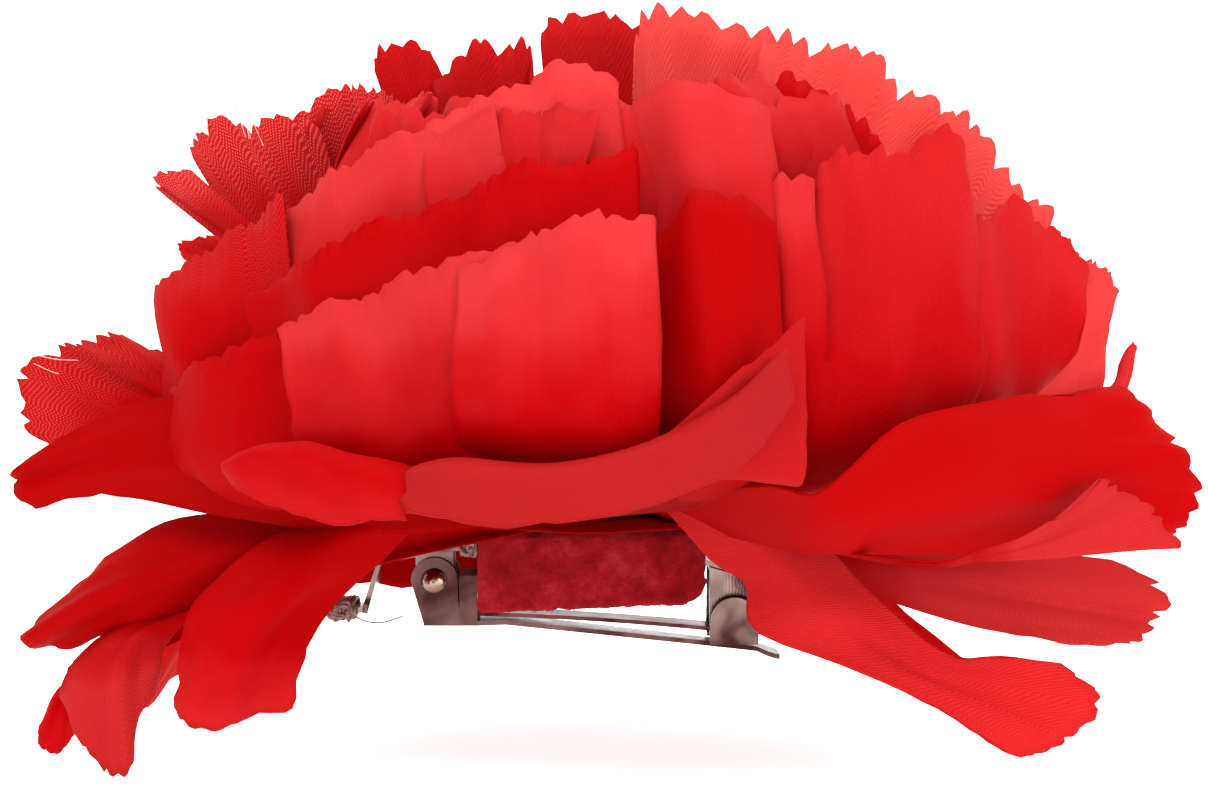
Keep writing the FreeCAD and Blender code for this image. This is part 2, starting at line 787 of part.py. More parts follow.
def check_and_export():
    """Refuses a failed object, then writes one file per sub-part."""
    doc.recompute()
    for thing in doc.Objects:
        if "Invalid" in thing.State or "Error" in thing.State:
            raise ValueError(thing.Name + " is " + str(thing.State))
    for node in NODES:
        if node.Shape.isNull() or not node.Shape.isValid():
            raise ValueError(node.Label + " has no valid shape")
        node.Shape.exportStep("parts/" + node.Label + ".step")
        box = node.Shape.BoundBox
        print("%-24s solids %d volume %8.1f  x %6.1f %6.1f  y %6.1f %6.1f  z %6.1f %6.1f" % (
            node.Label, len(node.Shape.Solids), node.Shape.Volume,
            box.XMin, box.XMax, box.YMin, box.YMax, box.ZMin, box.ZMax))


make_barrette()
make_soft_trim()
make_flower()
check_and_export()
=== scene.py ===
"""Looks of the flower hair clip: satin petals, felt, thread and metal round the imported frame."""
import bpy
import math
import random
from mathutils import Matrix, Vector, noise


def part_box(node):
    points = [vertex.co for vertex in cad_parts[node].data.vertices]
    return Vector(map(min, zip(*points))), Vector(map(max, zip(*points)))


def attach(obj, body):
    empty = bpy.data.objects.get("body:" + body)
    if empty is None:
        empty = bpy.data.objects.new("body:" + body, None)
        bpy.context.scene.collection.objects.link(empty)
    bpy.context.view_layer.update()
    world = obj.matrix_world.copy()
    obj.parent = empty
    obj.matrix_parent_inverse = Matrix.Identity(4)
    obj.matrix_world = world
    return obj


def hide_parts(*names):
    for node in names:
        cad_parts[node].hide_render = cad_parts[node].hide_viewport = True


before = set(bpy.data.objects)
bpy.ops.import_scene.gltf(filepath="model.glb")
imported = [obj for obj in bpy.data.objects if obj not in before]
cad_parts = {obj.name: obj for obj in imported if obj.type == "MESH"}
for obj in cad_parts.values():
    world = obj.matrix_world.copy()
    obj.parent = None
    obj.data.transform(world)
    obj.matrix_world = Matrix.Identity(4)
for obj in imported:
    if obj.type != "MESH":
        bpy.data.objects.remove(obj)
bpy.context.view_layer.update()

MM = 0.001
ROOT = "flower_base"
TAU = 2 * math.pi
Z0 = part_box("flower_peg")[0].z / MM  # the lowest petal layer's flat centre
PETAL_THICK = 0.22
PETAL_ROWS = 26
SIDE_TEETH = 0.22  # share of a petal's sides, next to the rim, that is pinked too
ROOT_REACH = 3.0  # how far from the peg a petal starts
ROOT_HALF = 2.0
HUB_R = 5.0  # where a far petal leaves its layer's flat centre
LAYER_LIFT = 0.3  # cloth above the bottom of its plain solid, at the flat centre


# ------------------------------------------------------------------ small helpers

def blend_points(points, t):
    """A point on the smooth curve through points, at t from 0 to 1 (Catmull-Rom)."""
    spans = len(points) - 1
    place = min(max(t, 0.0), 1.0) * spans
    first = min(int(place), spans - 1)
    f = place - first
    p1 = points[first]
    p2 = points[first + 1]
    p0 = points[first - 1] if first > 0 else p1 * 2 - p2
    p3 = points[first + 2] if first + 2 <= spans else p2 * 2 - p1
    return 0.5 * (p1 * 2 + (p2 - p0) * f + (p0 * 2 - p1 * 5 + p2 * 4 - p3) * f * f
                  + (p1 * 3 - p0 - p2 * 3 + p3) * f ** 3)


def smooth(t):
    """Eases from 0 to 1."""
    t = min(max(t, 0.0), 1.0)
    return t * t * (3 - 2 * t)


def zigzag(t):
    """A triangle wave from 0 to 1 and back, once for each unit of t."""
    t = t - math.floor(t)
    return 1 - abs(2 * t - 1)


# ------------------------------------------------------------------ petals

class Petal:
    """One petal, lofted through curves that run across it from its root to its rim.

    tooth is the pinking's pitch and tooth_deep its depth, in mm; ruffle is how far the frill
    stands out, waves how many folds it has and slant how they lean; lobes is how deep the rim
    dips between its lobes; tone is how pale the rim is, as painted light, and wash carries that
    painted light further down; dim scales the whole petal's brightness, as painted shade below 1
    and painted light above it; ribs is how far its weave shows, and loose how far its threads
    come apart at the rim.
    """

    def __init__(self, curves, seed=1, tooth=2.6, tooth_deep=0.8, ruffle=0.6, waves=1.2,
                 slant=1.6, lobes=1.6, tone=0.5, wash=0.0, dim=1.0, ribs=0.22, loose=0.0):
        self.curves = [[Vector(p) for p in curve] for curve in curves]
        self.seed = seed
        self.tooth = tooth
        self.tooth_deep = tooth_deep
        self.ruffle = ruffle
        self.waves = waves
        self.slant = slant
        self.lobes = lobes
        self.tone = tone
        self.wash = wash
        self.dim = dim
        self.ribs = ribs
        self.loose = loose


def petal_grid(petal):
    """A petal's grid: its points, and for each its place on the flat cloth and its looks."""
    rnd = random.Random(petal.seed)
    phase = rnd.uniform(0, TAU)
    phase2 = rnd.uniform(0, TAU)
    rim = petal.curves[-1]
    rim_length = sum((b - a).length for a, b in zip(rim, rim[1:]))
    middle = [blend_points(curve, 0.5) for curve in petal.curves]
    length = sum((b - a).length for a, b in zip(middle, middle[1:]))
    teeth = max(3, round(rim_length / petal.tooth))
    columns = teeth * 4
    bites = [petal.tooth_deep * rnd.uniform(0.4, 1.5) for _ in range(teeth + 1)]
    shifts = [rnd.uniform(-0.35, 0.35) for _ in range(teeth + 1)]
    grid = []
    for j in range(columns + 1):
        v = j / columns
        spine = [blend_points(curve, v) for curve in petal.curves]
        edge = Vector((v * rim_length / 4.5 + petal.seed * 3.1, 0.5, petal.seed * 0.7))
        back = petal.lobes * max(0.0, 0.35 + noise.noise(edge))
        tooth = j / 4 + shifts[j // 4] * zigzag(j / 4)
        back += (1 - zigzag(tooth)) * bites[j // 4]
        reach = max(0.5, 1 - back / length)
        column = []
        for i in range(PETAL_ROWS + 1):
            column.append(blend_points(spine, (i / PETAL_ROWS) ** 0.85 * reach))
        grid.append(column)
    points = []
    looks = []
    for i in range(PETAL_ROWS + 1):
        u = (i / PETAL_ROWS) ** 0.85
        near_rim = smooth((u - 0.3) / 0.7)
        width = sum((grid[j + 1][i] - grid[j][i]).length for j in range(columns))
        for j in range(columns + 1):
            v = j / columns
            here = grid[j][i]
            wide = grid[min(j + 2, columns)][i] - grid[max(j - 2, 0)][i]
            tall = grid[j][min(i + 1, PETAL_ROWS)] - grid[j][max(i - 1, 0)]
            normal = wide.cross(tall).normalized()
            if j in (0, columns) and u > 1 - SIDE_TEETH:
                inward = grid[1 if j == 0 else columns - 1][i] - here
                notch = zigzag(u * length / petal.tooth) * petal.tooth_deep * 0.7
                here = here + inward.normalized() * notch
            wave = petal.ruffle * near_rim * (
                math.sin(v * TAU * petal.waves + petal.slant * u + phase)
                + 0.45 * math.sin(v * TAU * petal.waves * 2.3 + petal.slant * 2 * u + phase2))
            crumple = petal.ruffle * (0.25 + near_rim) * noise.noise(
                Vector((v * width * 0.13 + petal.seed * 7, u * length * 0.1, petal.seed * 1.7)))
            points.append(here + normal * (wave + crumple))
            looks.append(((v - 0.5) * width, u * length, petal.tone, u + petal.wash,
                          petal.ribs, petal.loose, petal.dim))
    return points, looks, columns + 1, PETAL_ROWS + 1


def petals_object(name, petals):
    """One mesh object of many petals, thin closed sheets that carry their looks as UV maps."""
    vertices = []
    faces = []
    looks = []
    area = 0.0
    for petal in petals:
        points, marks, wide, deep = petal_grid(petal)
        start = len(vertices)
        vertices += [p * MM for p in points]
        looks += marks
        for i in range(deep - 1):
            for j in range(wide - 1):
                a = i * wide + j
                b = a + wide
                faces.append((start + a, start + a + 1, start + b + 1, start + b))
                area += 0.5 * (points[a + 1] - points[a]).cross(points[b + 1] - points[a]).length
                area += 0.5 * (points[b + 1] - points[a]).cross(points[b] - points[a]).length
    mesh = bpy.data.meshes.new(name)
    mesh.from_pydata(vertices, [], faces)
    flat = mesh.uv_layers.new(name="flat_mm")
    shade = mesh.uv_layers.new(name="shade")
    cloth = mesh.uv_layers.new(name="cloth")
    depth = mesh.uv_layers.new(name="depth")
    for loop in mesh.loops:
        across, along, tone, share, ribs, loose, dim = looks[loop.vertex_index]
        flat.data[loop.index].uv = (across, along)
        shade.data[loop.index].uv = (tone, share)
        cloth.data[loop.index].uv = (ribs, loose)
        depth.data[loop.index].uv = (dim, 0)
    mesh.polygons.foreach_set("use_smooth", [True] * len(mesh.polygons))
    piece = bpy.data.objects.new(name, mesh)
    bpy.context.scene.collection.objects.link(piece)
    solid = piece.modifiers.new("thickness", "SOLIDIFY")
    solid.thickness = PETAL_THICK * MM
    solid.offset = 0
    return piece, area * MM * MM


def cup_petal(azimuth, rim_r, rim_z, half, low_z, lean=0.0, cup=0.10, **looks):
    """A petal that follows one arc from the flat hub up to its rim, as its layer's solid does."""
    a = math.radians(azimuth)
    out = Vector((math.cos(a), math.sin(a), 0))
    side = Vector((-math.sin(a), math.cos(a), 0))
    rise = rim_z - low_z
    reach = rim_r - HUB_R
    bend = (reach ** 2 + rise ** 2) / (2 * rise)
    full = math.atan2(rise - bend, reach) + math.pi / 2
    curves = []
    for step, wide in ((-1, 2.0), (0.0, 2.6), (0.25, half * 0.55), (0.5, half * 0.85),
                       (0.75, half), (1.0, half * 1.04)):
        t = full * max(step, 0.0)
        r = HUB_R + bend * math.sin(t) if step >= 0 else HUB_R * 0.4
        z = low_z + bend * (1 - math.cos(t))
        centre = out * r + side * (lean * max(step, 0.0) ** 1.5) + Vector((0, 0, z))
        inner = Vector((0, 0, math.cos(t))) - out * math.sin(t)
        lift = inner * (cup * wide)
        curves.append([centre - side * wide + lift, centre - side * (wide * 0.5),
                       centre + side * (wide * 0.5), centre + side * wide + lift])
    return Petal(curves, **looks)


def at(x, y, z):
    """A point by its height above the lowest layer's centre."""
    return Vector((x, y, Z0 + z))


def root_below(curve, height):
    """A petal's narrow start beside the peg, turned towards the curve it leads to."""
    middle = blend_points(curve, 0.5)
    out = Vector((middle.x, middle.y, 0)).normalized()
    side = Vector((-out.y, out.x, 0))
    if side.dot(curve[-1] - curve[0]) < 0:
        side = -side
    base = Vector((0, 0, Z0 + height))
    return [out * ROOT_REACH + side * (k * ROOT_HALF) + base for k in (-1, 1)]


def patch(rim, belly, height, **looks):
    """A petal through its rim and belly curves, which bends up steeply between root and belly."""
    rim = [at(*spot) for spot in rim]
    belly = [at(*spot) for spot in belly]
    root = root_below(belly, height)
    low = []
    for k in range(3):
        start = blend_points(root, k / 2)
        end = blend_points(belly, k / 2)
        spot = start + (end - start) * 0.58
        low.append(Vector((spot.x, spot.y, root[0].z + (end.z - root[0].z) * 0.16)))
    return Petal([root, low, belly, rim], **looks)


def strip(sections, height, **looks):
    """A petal through sections across it, the last one its rim, from a root beside the peg."""
    sections = [[at(*spot) for spot in section] for section in sections]
    return Petal([root_below(sections[0], height)] + sections, **looks)


# ------------------------------------------------------------------ materials

def new_material(name):
    """A node material, its tree and its Principled shader, ready for links."""
    material = bpy.data.materials.new(name)
    material.use_nodes = True
    tree = material.node_tree
    return material, tree, tree.nodes["Principled BSDF"]


def node(tree, kind, **inputs):
    """A shader node with its inputs set by name."""
    made = tree.nodes.new(kind)
    for key, value in inputs.items():
        made.inputs[key.replace("_", " ")].default_value = value
    return made


def math_node(tree, operation, *values):
    """A maths node fed by sockets or plain numbers; returns its answer's socket."""
    made = tree.nodes.new("ShaderNodeMath")
    made.operation = operation
    for socket, value in zip(made.inputs, values):
        if isinstance(value, bpy.types.NodeSocket):
            tree.links.new(value, socket)
        else:
            socket.default_value = value
    return made.outputs["Value"]


def ramp(tree, source, stops):
    """A colour ramp fed by source, with (position, colour) stops."""
    made = tree.nodes.new("ShaderNodeValToRGB")
    tree.links.new(source, made.inputs["Fac"])
    elements = made.color_ramp.elements
    while len(elements) < len(stops):
        elements.new(0.5)
    for element, (position, colour) in zip(elements, stops):
        element.position = position
        element.color = (*colour, 1)
    return made


def uv_parts(tree, name):
    """The two numbers of a UV map, as sockets."""
    place = tree.nodes.new("ShaderNodeUVMap")
    place.uv_map = name
    parts = tree.nodes.new("ShaderNodeSeparateXYZ")
    tree.links.new(place.outputs["UV"], parts.inputs["Vector"])
    return parts.outputs["X"], parts.outputs["Y"]


def satin_material():
    """Ribbed red satin: fine slanted ribs, with painted shade deep below and painted light paler towards
    the cut rim.

    The shade map holds the petal's tone and the share of the way from root to rim, which set its
    painted light and shade; the cloth map holds how far the ribs show and how far the threads come
    apart near the rim; the depth map holds how bright the whole petal is, as painted shade and light.
    """
    material, tree, shader = new_material("satin_red")
    links = tree.links
    flat = tree.nodes.new("ShaderNodeUVMap")
    flat.uv_map = "flat_mm"
    tone, share = uv_parts(tree, "shade")
    ribbed, loose = uv_parts(tree, "cloth")
    # painted shade and light: each petal's colour is scaled, darker for the lower petals and brighter for
    # a few
    bright = uv_parts(tree, "depth")[0]
    turn = node(tree, "ShaderNodeMapping", Rotation=(0, 0, 0.6))
    links.new(flat.outputs["UV"], turn.inputs["Vector"])
    ribs = node(tree, "ShaderNodeTexWave", Scale=0.80, Distortion=0.3, Detail=0.0, Detail_Scale=0.15)
    ribs.wave_type = "BANDS"
    links.new(turn.outputs["Vector"], ribs.inputs["Vector"])
    across = node(tree, "ShaderNodeTexWave", Scale=0.80, Distortion=0.3, Detail=0.0, Detail_Scale=0.15)
    across.bands_direction = "Y"
    links.new(turn.outputs["Vector"], across.inputs["Vector"])
    cloud = node(tree, "ShaderNodeTexNoise", Scale=0.08, Detail=2.0, Roughness=0.5)
    links.new(flat.outputs["UV"], cloud.inputs["Vector"])
    # painted light: paler towards the rim, with a soft cloudy edge to the paler part, over painted shade
    # below it
    drift = math_node(tree, "MULTIPLY_ADD", cloud.outputs["Fac"], 0.24, share)
    height = node(tree, "ShaderNodeMapRange", From_Min=0.84, From_Max=1.08)
    links.new(drift, height.inputs["Value"])
    pale = math_node(tree, "MULTIPLY_ADD", height.outputs["Result"], 0.78, 0.22)
    lift = math_node(tree, "MULTIPLY", pale, tone)
    colour = ramp(tree, lift, [(0.0, (0.365, 0.0, 0.0)), (0.16, (0.40, 0.0, 0.001)),
                               (0.45, (0.475, 0.011, 0.012)), (0.75, (0.56, 0.033, 0.034)),
                               (1.0, (0.83, 0.080, 0.068))])
    swing = math_node(tree, "MULTIPLY_ADD", ribs.outputs["Fac"], 0.26, -0.18)
    rib_shade = math_node(tree, "MULTIPLY_ADD", swing, ribbed, 1.0)
    tint = tree.nodes.new("ShaderNodeVectorMath")
    tint.operation = "SCALE"
    links.new(colour.outputs["Color"], tint.inputs[0])
    links.new(math_node(tree, "MULTIPLY", rib_shade, bright), tint.inputs["Scale"])
    # open weave: small pale gaps in a lattice near the rim, painted light for the backdrop seen through
    # them
    lattice = math_node(tree, "MULTIPLY", ribs.outputs["Fac"], across.outputs["Fac"])
    edge = node(tree, "ShaderNodeMapRange", From_Min=0.92, From_Max=1.07)
    links.new(drift, edge.inputs["Value"])
    gaps = math_node(tree, "MULTIPLY", loose, edge.outputs["Result"])
    holes = math_node(tree, "MULTIPLY", math_node(tree, "GREATER_THAN", lattice, 0.62), gaps)
    see = tree.nodes.new("ShaderNodeMix")
    see.data_type = "RGBA"
    links.new(holes, see.inputs["Factor"])
    for socket in see.inputs:
        if socket.type == "RGBA" and socket.name == "A":
            links.new(tint.outputs["Vector"], socket)
        if socket.type == "RGBA" and socket.name == "B":
            socket.default_value = (0.92, 0.45, 0.38, 1)
    mixed = [socket for socket in see.outputs if socket.type == "RGBA"][0]
    links.new(mixed, shader.inputs["Base Color"])
    relief = math_node(tree, "MULTIPLY_ADD", across.outputs["Fac"], 0.35, ribs.outputs["Fac"])
    shown = math_node(tree, "MULTIPLY", relief, ribbed)
    bump = node(tree, "ShaderNodeBump", Strength=0.40, Distance=0.0002)
    links.new(shown, bump.inputs["Height"])
    links.new(bump.outputs["Normal"], shader.inputs["Normal"])
    shader.inputs["Roughness"].default_value = 0.55
    shader.inputs["Specular IOR Level"].default_value = 0.025
    shader.inputs["Sheen Weight"].default_value = 0.015
    shader.inputs["Sheen Roughness"].default_value = 0.45
    shader.inputs["Sheen Tint"].default_value = (1.0, 0.45, 0.40, 1)
    through = node(tree, "ShaderNodeBsdfTranslucent", Color=(0.85, 0.002, 0.002, 1))
    mix = node(tree, "ShaderNodeMixShader", Fac=0.30)
    links.new(shader.outputs["BSDF"], mix.inputs[1])
    links.new(through.outputs["BSDF"], mix.inputs[2])
    links.new(mix.outputs["Shader"], tree.nodes["Material Output"].inputs["Surface"])
    return material


def metal_material(name, dark, bright, rough):
    """Brown plated steel, darker and brighter in soft patches of painted shade and painted reflection,
    with faint rolling marks.
    """
    material, tree, shader = new_material(name)
    links = tree.links
    place = tree.nodes.new("ShaderNodeTexCoord")
    smudge = node(tree, "ShaderNodeTexNoise", Scale=420.0, Detail=4.0)
    links.new(place.outputs["Object"], smudge.inputs["Vector"])
    spread = node(tree, "ShaderNodeMapRange", To_Min=rough * 0.6, To_Max=rough * 1.7)
    links.new(smudge.outputs["Fac"], spread.inputs["Value"])
    links.new(spread.outputs["Result"], shader.inputs["Roughness"])
    # painted shade and painted reflections: soft noise patches between the dark and the bright colour
    shade_and_reflection_patches = node(tree, "ShaderNodeTexNoise", Scale=190.0, Detail=2.0, Distortion=0.6)
    links.new(place.outputs["Object"], shade_and_reflection_patches.inputs["Vector"])
    shade = ramp(tree, shade_and_reflection_patches.outputs["Fac"], [(0.36, dark), (0.50, tuple(
        (a + b) / 2 for a, b in zip(dark, bright))), (0.66, bright)])
    links.new(shade.outputs["Color"], shader.inputs["Base Color"])
    marks = node(tree, "ShaderNodeTexWave", Scale=900.0, Distortion=6.0, Detail=2.0)
    links.new(place.outputs["Object"], marks.inputs["Vector"])
    bump = node(tree, "ShaderNodeBump", Strength=0.06, Distance=0.00005)
    links.new(marks.outputs["Fac"], bump.inputs["Height"])
    links.new(bump.outputs["Normal"], shader.inputs["Normal"])
    shader.inputs["Metallic"].default_value = 1.0
    return material


def plain_material(name, dark, light, rough, scale, through=0.0):
    """A mottled, slightly uneven surface: plastic, glue or thread."""
    material, tree, shader = new_material(name)
    links = tree.links
    place = tree.nodes.new("ShaderNodeTexCoord")
    mottle = node(tree, "ShaderNodeTexNoise", Scale=scale, Detail=5.0, Roughness=0.6)
    links.new(place.outputs["Object"], mottle.inputs["Vector"])
    shade = ramp(tree, mottle.outputs["Fac"], [(0.32, dark), (0.68, light)])
    links.new(shade.outputs["Color"], shader.inputs["Base Color"])
    bump = node(tree, "ShaderNodeBump", Strength=0.4, Distance=0.0001)
    links.new(mottle.outputs["Fac"], bump.inputs["Height"])
    links.new(bump.outputs["Normal"], shader.inputs["Normal"])
    shader.inputs["Roughness"].default_value = rough
    shader.inputs["Transmission Weight"].default_value = through
    return material


def felt_material():
    """Matted dark red wool felt."""
    material, tree, shader = new_material("felt_red")
    links = tree.links
    place = tree.nodes.new("ShaderNodeTexCoord")
    blotch = node(tree, "ShaderNodeTexNoise", Scale=300.0, Detail=6.0, Roughness=0.7)
    links.new(place.outputs["Object"], blotch.inputs["Vector"])
    shade = ramp(tree, blotch.outputs["Fac"], [(0.30, (0.17, 0.001, 0.005)), (0.52, (0.34, 0.004, 0.011)),
                                               (0.75, (0.50, 0.026, 0.034))])
    links.new(shade.outputs["Color"], shader.inputs["Base Color"])
    fuzz = node(tree, "ShaderNodeTexNoise", Scale=1500.0, Detail=5.0, Roughness=0.8)
    links.new(place.outputs["Object"], fuzz.inputs["Vector"])
    bump = node(tree, "ShaderNodeBump", Strength=0.9, Distance=0.0004)
    links.new(fuzz.outputs["Fac"], bump.inputs["Height"])
    links.new(bump.outputs["Normal"], shader.inputs["Normal"])
    shader.inputs["Roughness"].default_value = 0.95
    shader.inputs["Specular IOR Level"].default_value = 0.1
    shader.inputs["Sheen Weight"].default_value = 0.25
    shader.inputs["Sheen Tint"].default_value = (1.0, 0.25, 0.25, 1)
    return material


SATIN = satin_material()
STEEL = metal_material("plated_steel", (0.055, 0.020, 0.018), (0.25, 0.18, 0.16), 0.18)
# the clasp arm's steel is darker than the rest: painted shade
ARM = metal_material("steel_painted_dark", (0.035, 0.011, 0.011), (0.14, 0.068, 0.064), 0.24)
RIVET = metal_material("rivet_steel", (0.24, 0.15, 0.11), (0.50, 0.42, 0.34), 0.16)
SPRING = metal_material("spring_steel", (0.05, 0.007, 0.009), (0.13, 0.045, 0.047), 0.28)
FELT = felt_material()
# the glue's red is the red felt seen through clear glue, darkened further with painted shade
GLUE = plain_material("hot_glue", (0.16, 0.004, 0.006), (0.30, 0.020, 0.020), 0.35, 240.0, 0.1)
THREAD = plain_material("sewing_thread", (0.07, 0.022, 0.020), (0.42, 0.24, 0.22), 0.42, 900.0)
FRAY = plain_material("frayed_thread", (0.70, 0.22, 0.20), (0.92, 0.62, 0.58), 0.6, 900.0)
PLASTIC = plain_material("peg_plastic", (0.42, 0.004, 0.006), (0.62, 0.02, 0.02), 0.35, 300.0)

for name, material in (("base_plate", STEEL), ("hinge_rivet", RIVET), ("clasp_arm", ARM),
                       ("tension_bar", SPRING), ("catch_frame", STEEL), ("catch_wing_near", STEEL),
                       ("catch_wing_far", STEEL), ("flower_peg", PLASTIC), ("peg_cap", PLASTIC)):
    holder = bpy.data.objects[name]
    for place in holder.material_slots:
        place.material = material


# ------------------------------------------------------------------ the flower

def add_layer(name, cad_node, petals):
    """A petal layer as one piece that stands for its plain solid."""
    piece, area = petals_object(name, petals)
    piece.data.materials.append(SATIN)
    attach(piece, ROOT)
    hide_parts(cad_node)


def level(layer):
    """The height of a layer's flat centre."""
    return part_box(layer)[0].z / MM + LAYER_LIFT


def arc_of(count, start, stop):
    """Evenly spaced azimuths from start to stop."""
    return [start + (stop - start) * i / max(1, count - 1) for i in range(count)]


def back_petals(azimuths, rim_r, rim_z, half, layer, seed, **looks):
    """Petals at the given azimuths, each a little different."""
    rnd = random.Random(seed)
    petals = []
    for number, azimuth in enumerate(azimuths):
        petals.append(cup_petal(
            azimuth + rnd.uniform(-5, 5), rim_r + rnd.uniform(-2.5, 2.5), rim_z + rnd.uniform(-2, 2),
            half * rnd.uniform(0.9, 1.12), level(layer), lean=rnd.uniform(-3, 3),
            seed=seed * 50 + number, **looks))
    return petals


def spread_petals():
    """The near-level layer: the two big side petals and the low front ones that curl over."""
    petals = [
        # right: the big dark petal, and the paler one that lies over its lower edge
        strip([[(15, -33, 6), (17, -31, 2), (18, -27, -1)],
               [(21, -40, 5.8), (24, -37, 2.6), (24, -31, -1)],
               [(29, -38, 12.4), (33, -35, 5), (33, -28, -1.6)],
               [(40, -29, 14.4), (44, -27, 6), (43, -24, -1.8)],
               [(50, -17, 15.4), (54, -19, 7), (53, -19, -1.4)],
               [(56, -11, 16.0), (59.2, -12, 12), (62.6, -14, 8.4), (65, -14, 4), (64.4, -14, 0.5),
                (61, -15, -1.6)]],
              1, seed=21, tone=0.06, ruffle=0.7, tooth=2.8, tooth_deep=2.0, lobes=2.2, slant=4.0),
        strip([[(29, -35, -1.2), (29, -34, -1.8)], [(38, -32, -0.6), (38, -31, -1.8)],
               [(45, -29, 1.8), (45.5, -28, -1.8)],
               [(50.5, -26, 6.4), (54.4, -25, 5.0), (58, -24, 2.6), (60.8, -23, -1.6)]],
              0.5, seed=22, tone=0.60, wash=0.3, dim=0.90, ruffle=0.3, tooth=2.2, tooth_deep=1.4,
              lobes=1.0, ribs=0.6),
        # left: the dark one that points left, and the toothed one behind it
        strip([[(-22, -22, 0), (-22, -23, 5), (-21, -20, 11)],
               [(-38.7, -21, 1.7), (-39.5, -23, 8), (-38, -20, 15)],
               [(-51.5, -17, 3.8), (-52, -18, 8), (-51, -15, 12.8)],
               [(-61.5, -13, 2.2), (-64, -13, 3.6), (-64.3, -13, 5.8), (-61, -13, 7.2)]],
              1, seed=23, tone=0.02, dim=0.84, ruffle=0.6, tooth=2.0, lobes=0.8),
        strip([[(-22, -1, 1), (-20, -4, 5)], [(-46, -3, 6), (-41, -5, 14)],
               [(-61, 2, 6.5), (-65, 2, 10), (-67, 2, 16), (-64.4, 3, 20.4), (-60, 2, 19.6),
                (-56, 2, 21), (-50.3, 1, 19.6)]],
              1, seed=24, tone=0.30, dim=0.95, tooth=2.1, tooth_deep=1.2, lobes=3.4, ruffle=0.9,
              waves=2.0, ribs=0.3, loose=0.20),
        # front: two whose rims curl over towards the floor, and one folded upright
        patch([(-36.0, -42, 6.4), (-31, -46, 4.4), (-25, -49, 3.4), (-18.5, -50, 3.8)],
              [(-36.5, -38, 8.5), (-31, -42, 11), (-26, -45, 10.6), (-17.5, -47, 8)],
              1.2, seed=25, tone=0.36, dim=0.95, ruffle=0.5, tooth=3.5, tooth_deep=0.5, lobes=1.0),
        patch([(-18.5, -51, 4.6), (-10, -53, 3.6), (-1, -53, 4.1), (7, -50.6, 6.0), (14, -48, 9.4),
               (18.4, -46.4, 15)],
              [(-20, -46, 7.6), (-14, -49, 10), (-5, -50, 9.4), (3.5, -49.4, 10.8), (12, -47, 15),
               (16.6, -45.8, 19.6)],
              1.4, seed=26, tone=0.55, wash=0.2, dim=0.68, ruffle=0.35, tooth=4.0, tooth_deep=0.4,
              lobes=1.0),
        strip([[(4, -18, 5), (12, -18, 6)], [(5, -34, 8.6), (16, -34, 8.4)],
               [(5, -45, 8.4), (12, -45, 8), (19.3, -43.4, 7.4)],
               [(5, -45.5, 11), (10.5, -46, 16), (15, -45, 20), (19.3, -43, 23.4)]],
              1.0, seed=27, tone=0.42, wash=0.3, dim=0.86, ruffle=0.2, tooth=4.0, tooth_deep=0.3,
              lobes=0.6),
        # right: the narrow upright one and the sliver at the flower's edge
        strip([[(30, -3, 4), (32, 0, 4)], [(41, -1, 8), (54, 2, 11.5)], [(44, 0, 16), (56.8, 2, 20)],
               [(49.5, 1, 22), (54.6, 2, 30.0), (56.6, 2, 28.6), (58.6, 3, 25.4)]],
              1, seed=28, tone=0.85, wash=0.3, tooth=2.0, tooth_deep=1.2, ruffle=0.4, ribs=0.7),
        strip([[(32, 3, 4), (32, 4, 4)], [(55, 3, 12.6), (57, 4, 12.2)],
               [(59, 4, 18), (60.2, 4, 19.6), (61, 5, 19)]],
              1, seed=29, tone=0.6, wash=0.3, tooth=1.0, tooth_deep=0.4, ruffle=0.2, lobes=0.3),
    ]
    far = back_petals(arc_of(4, 42, 128), 57, Z0 + 7, 18, "petal_layer_2_spread", 2,
                      ruffle=1.4, cup=0.05)
    return petals + far + back_petals([12, 168], 44, Z0 + 8, 14, "petal_layer_2_spread", 12)


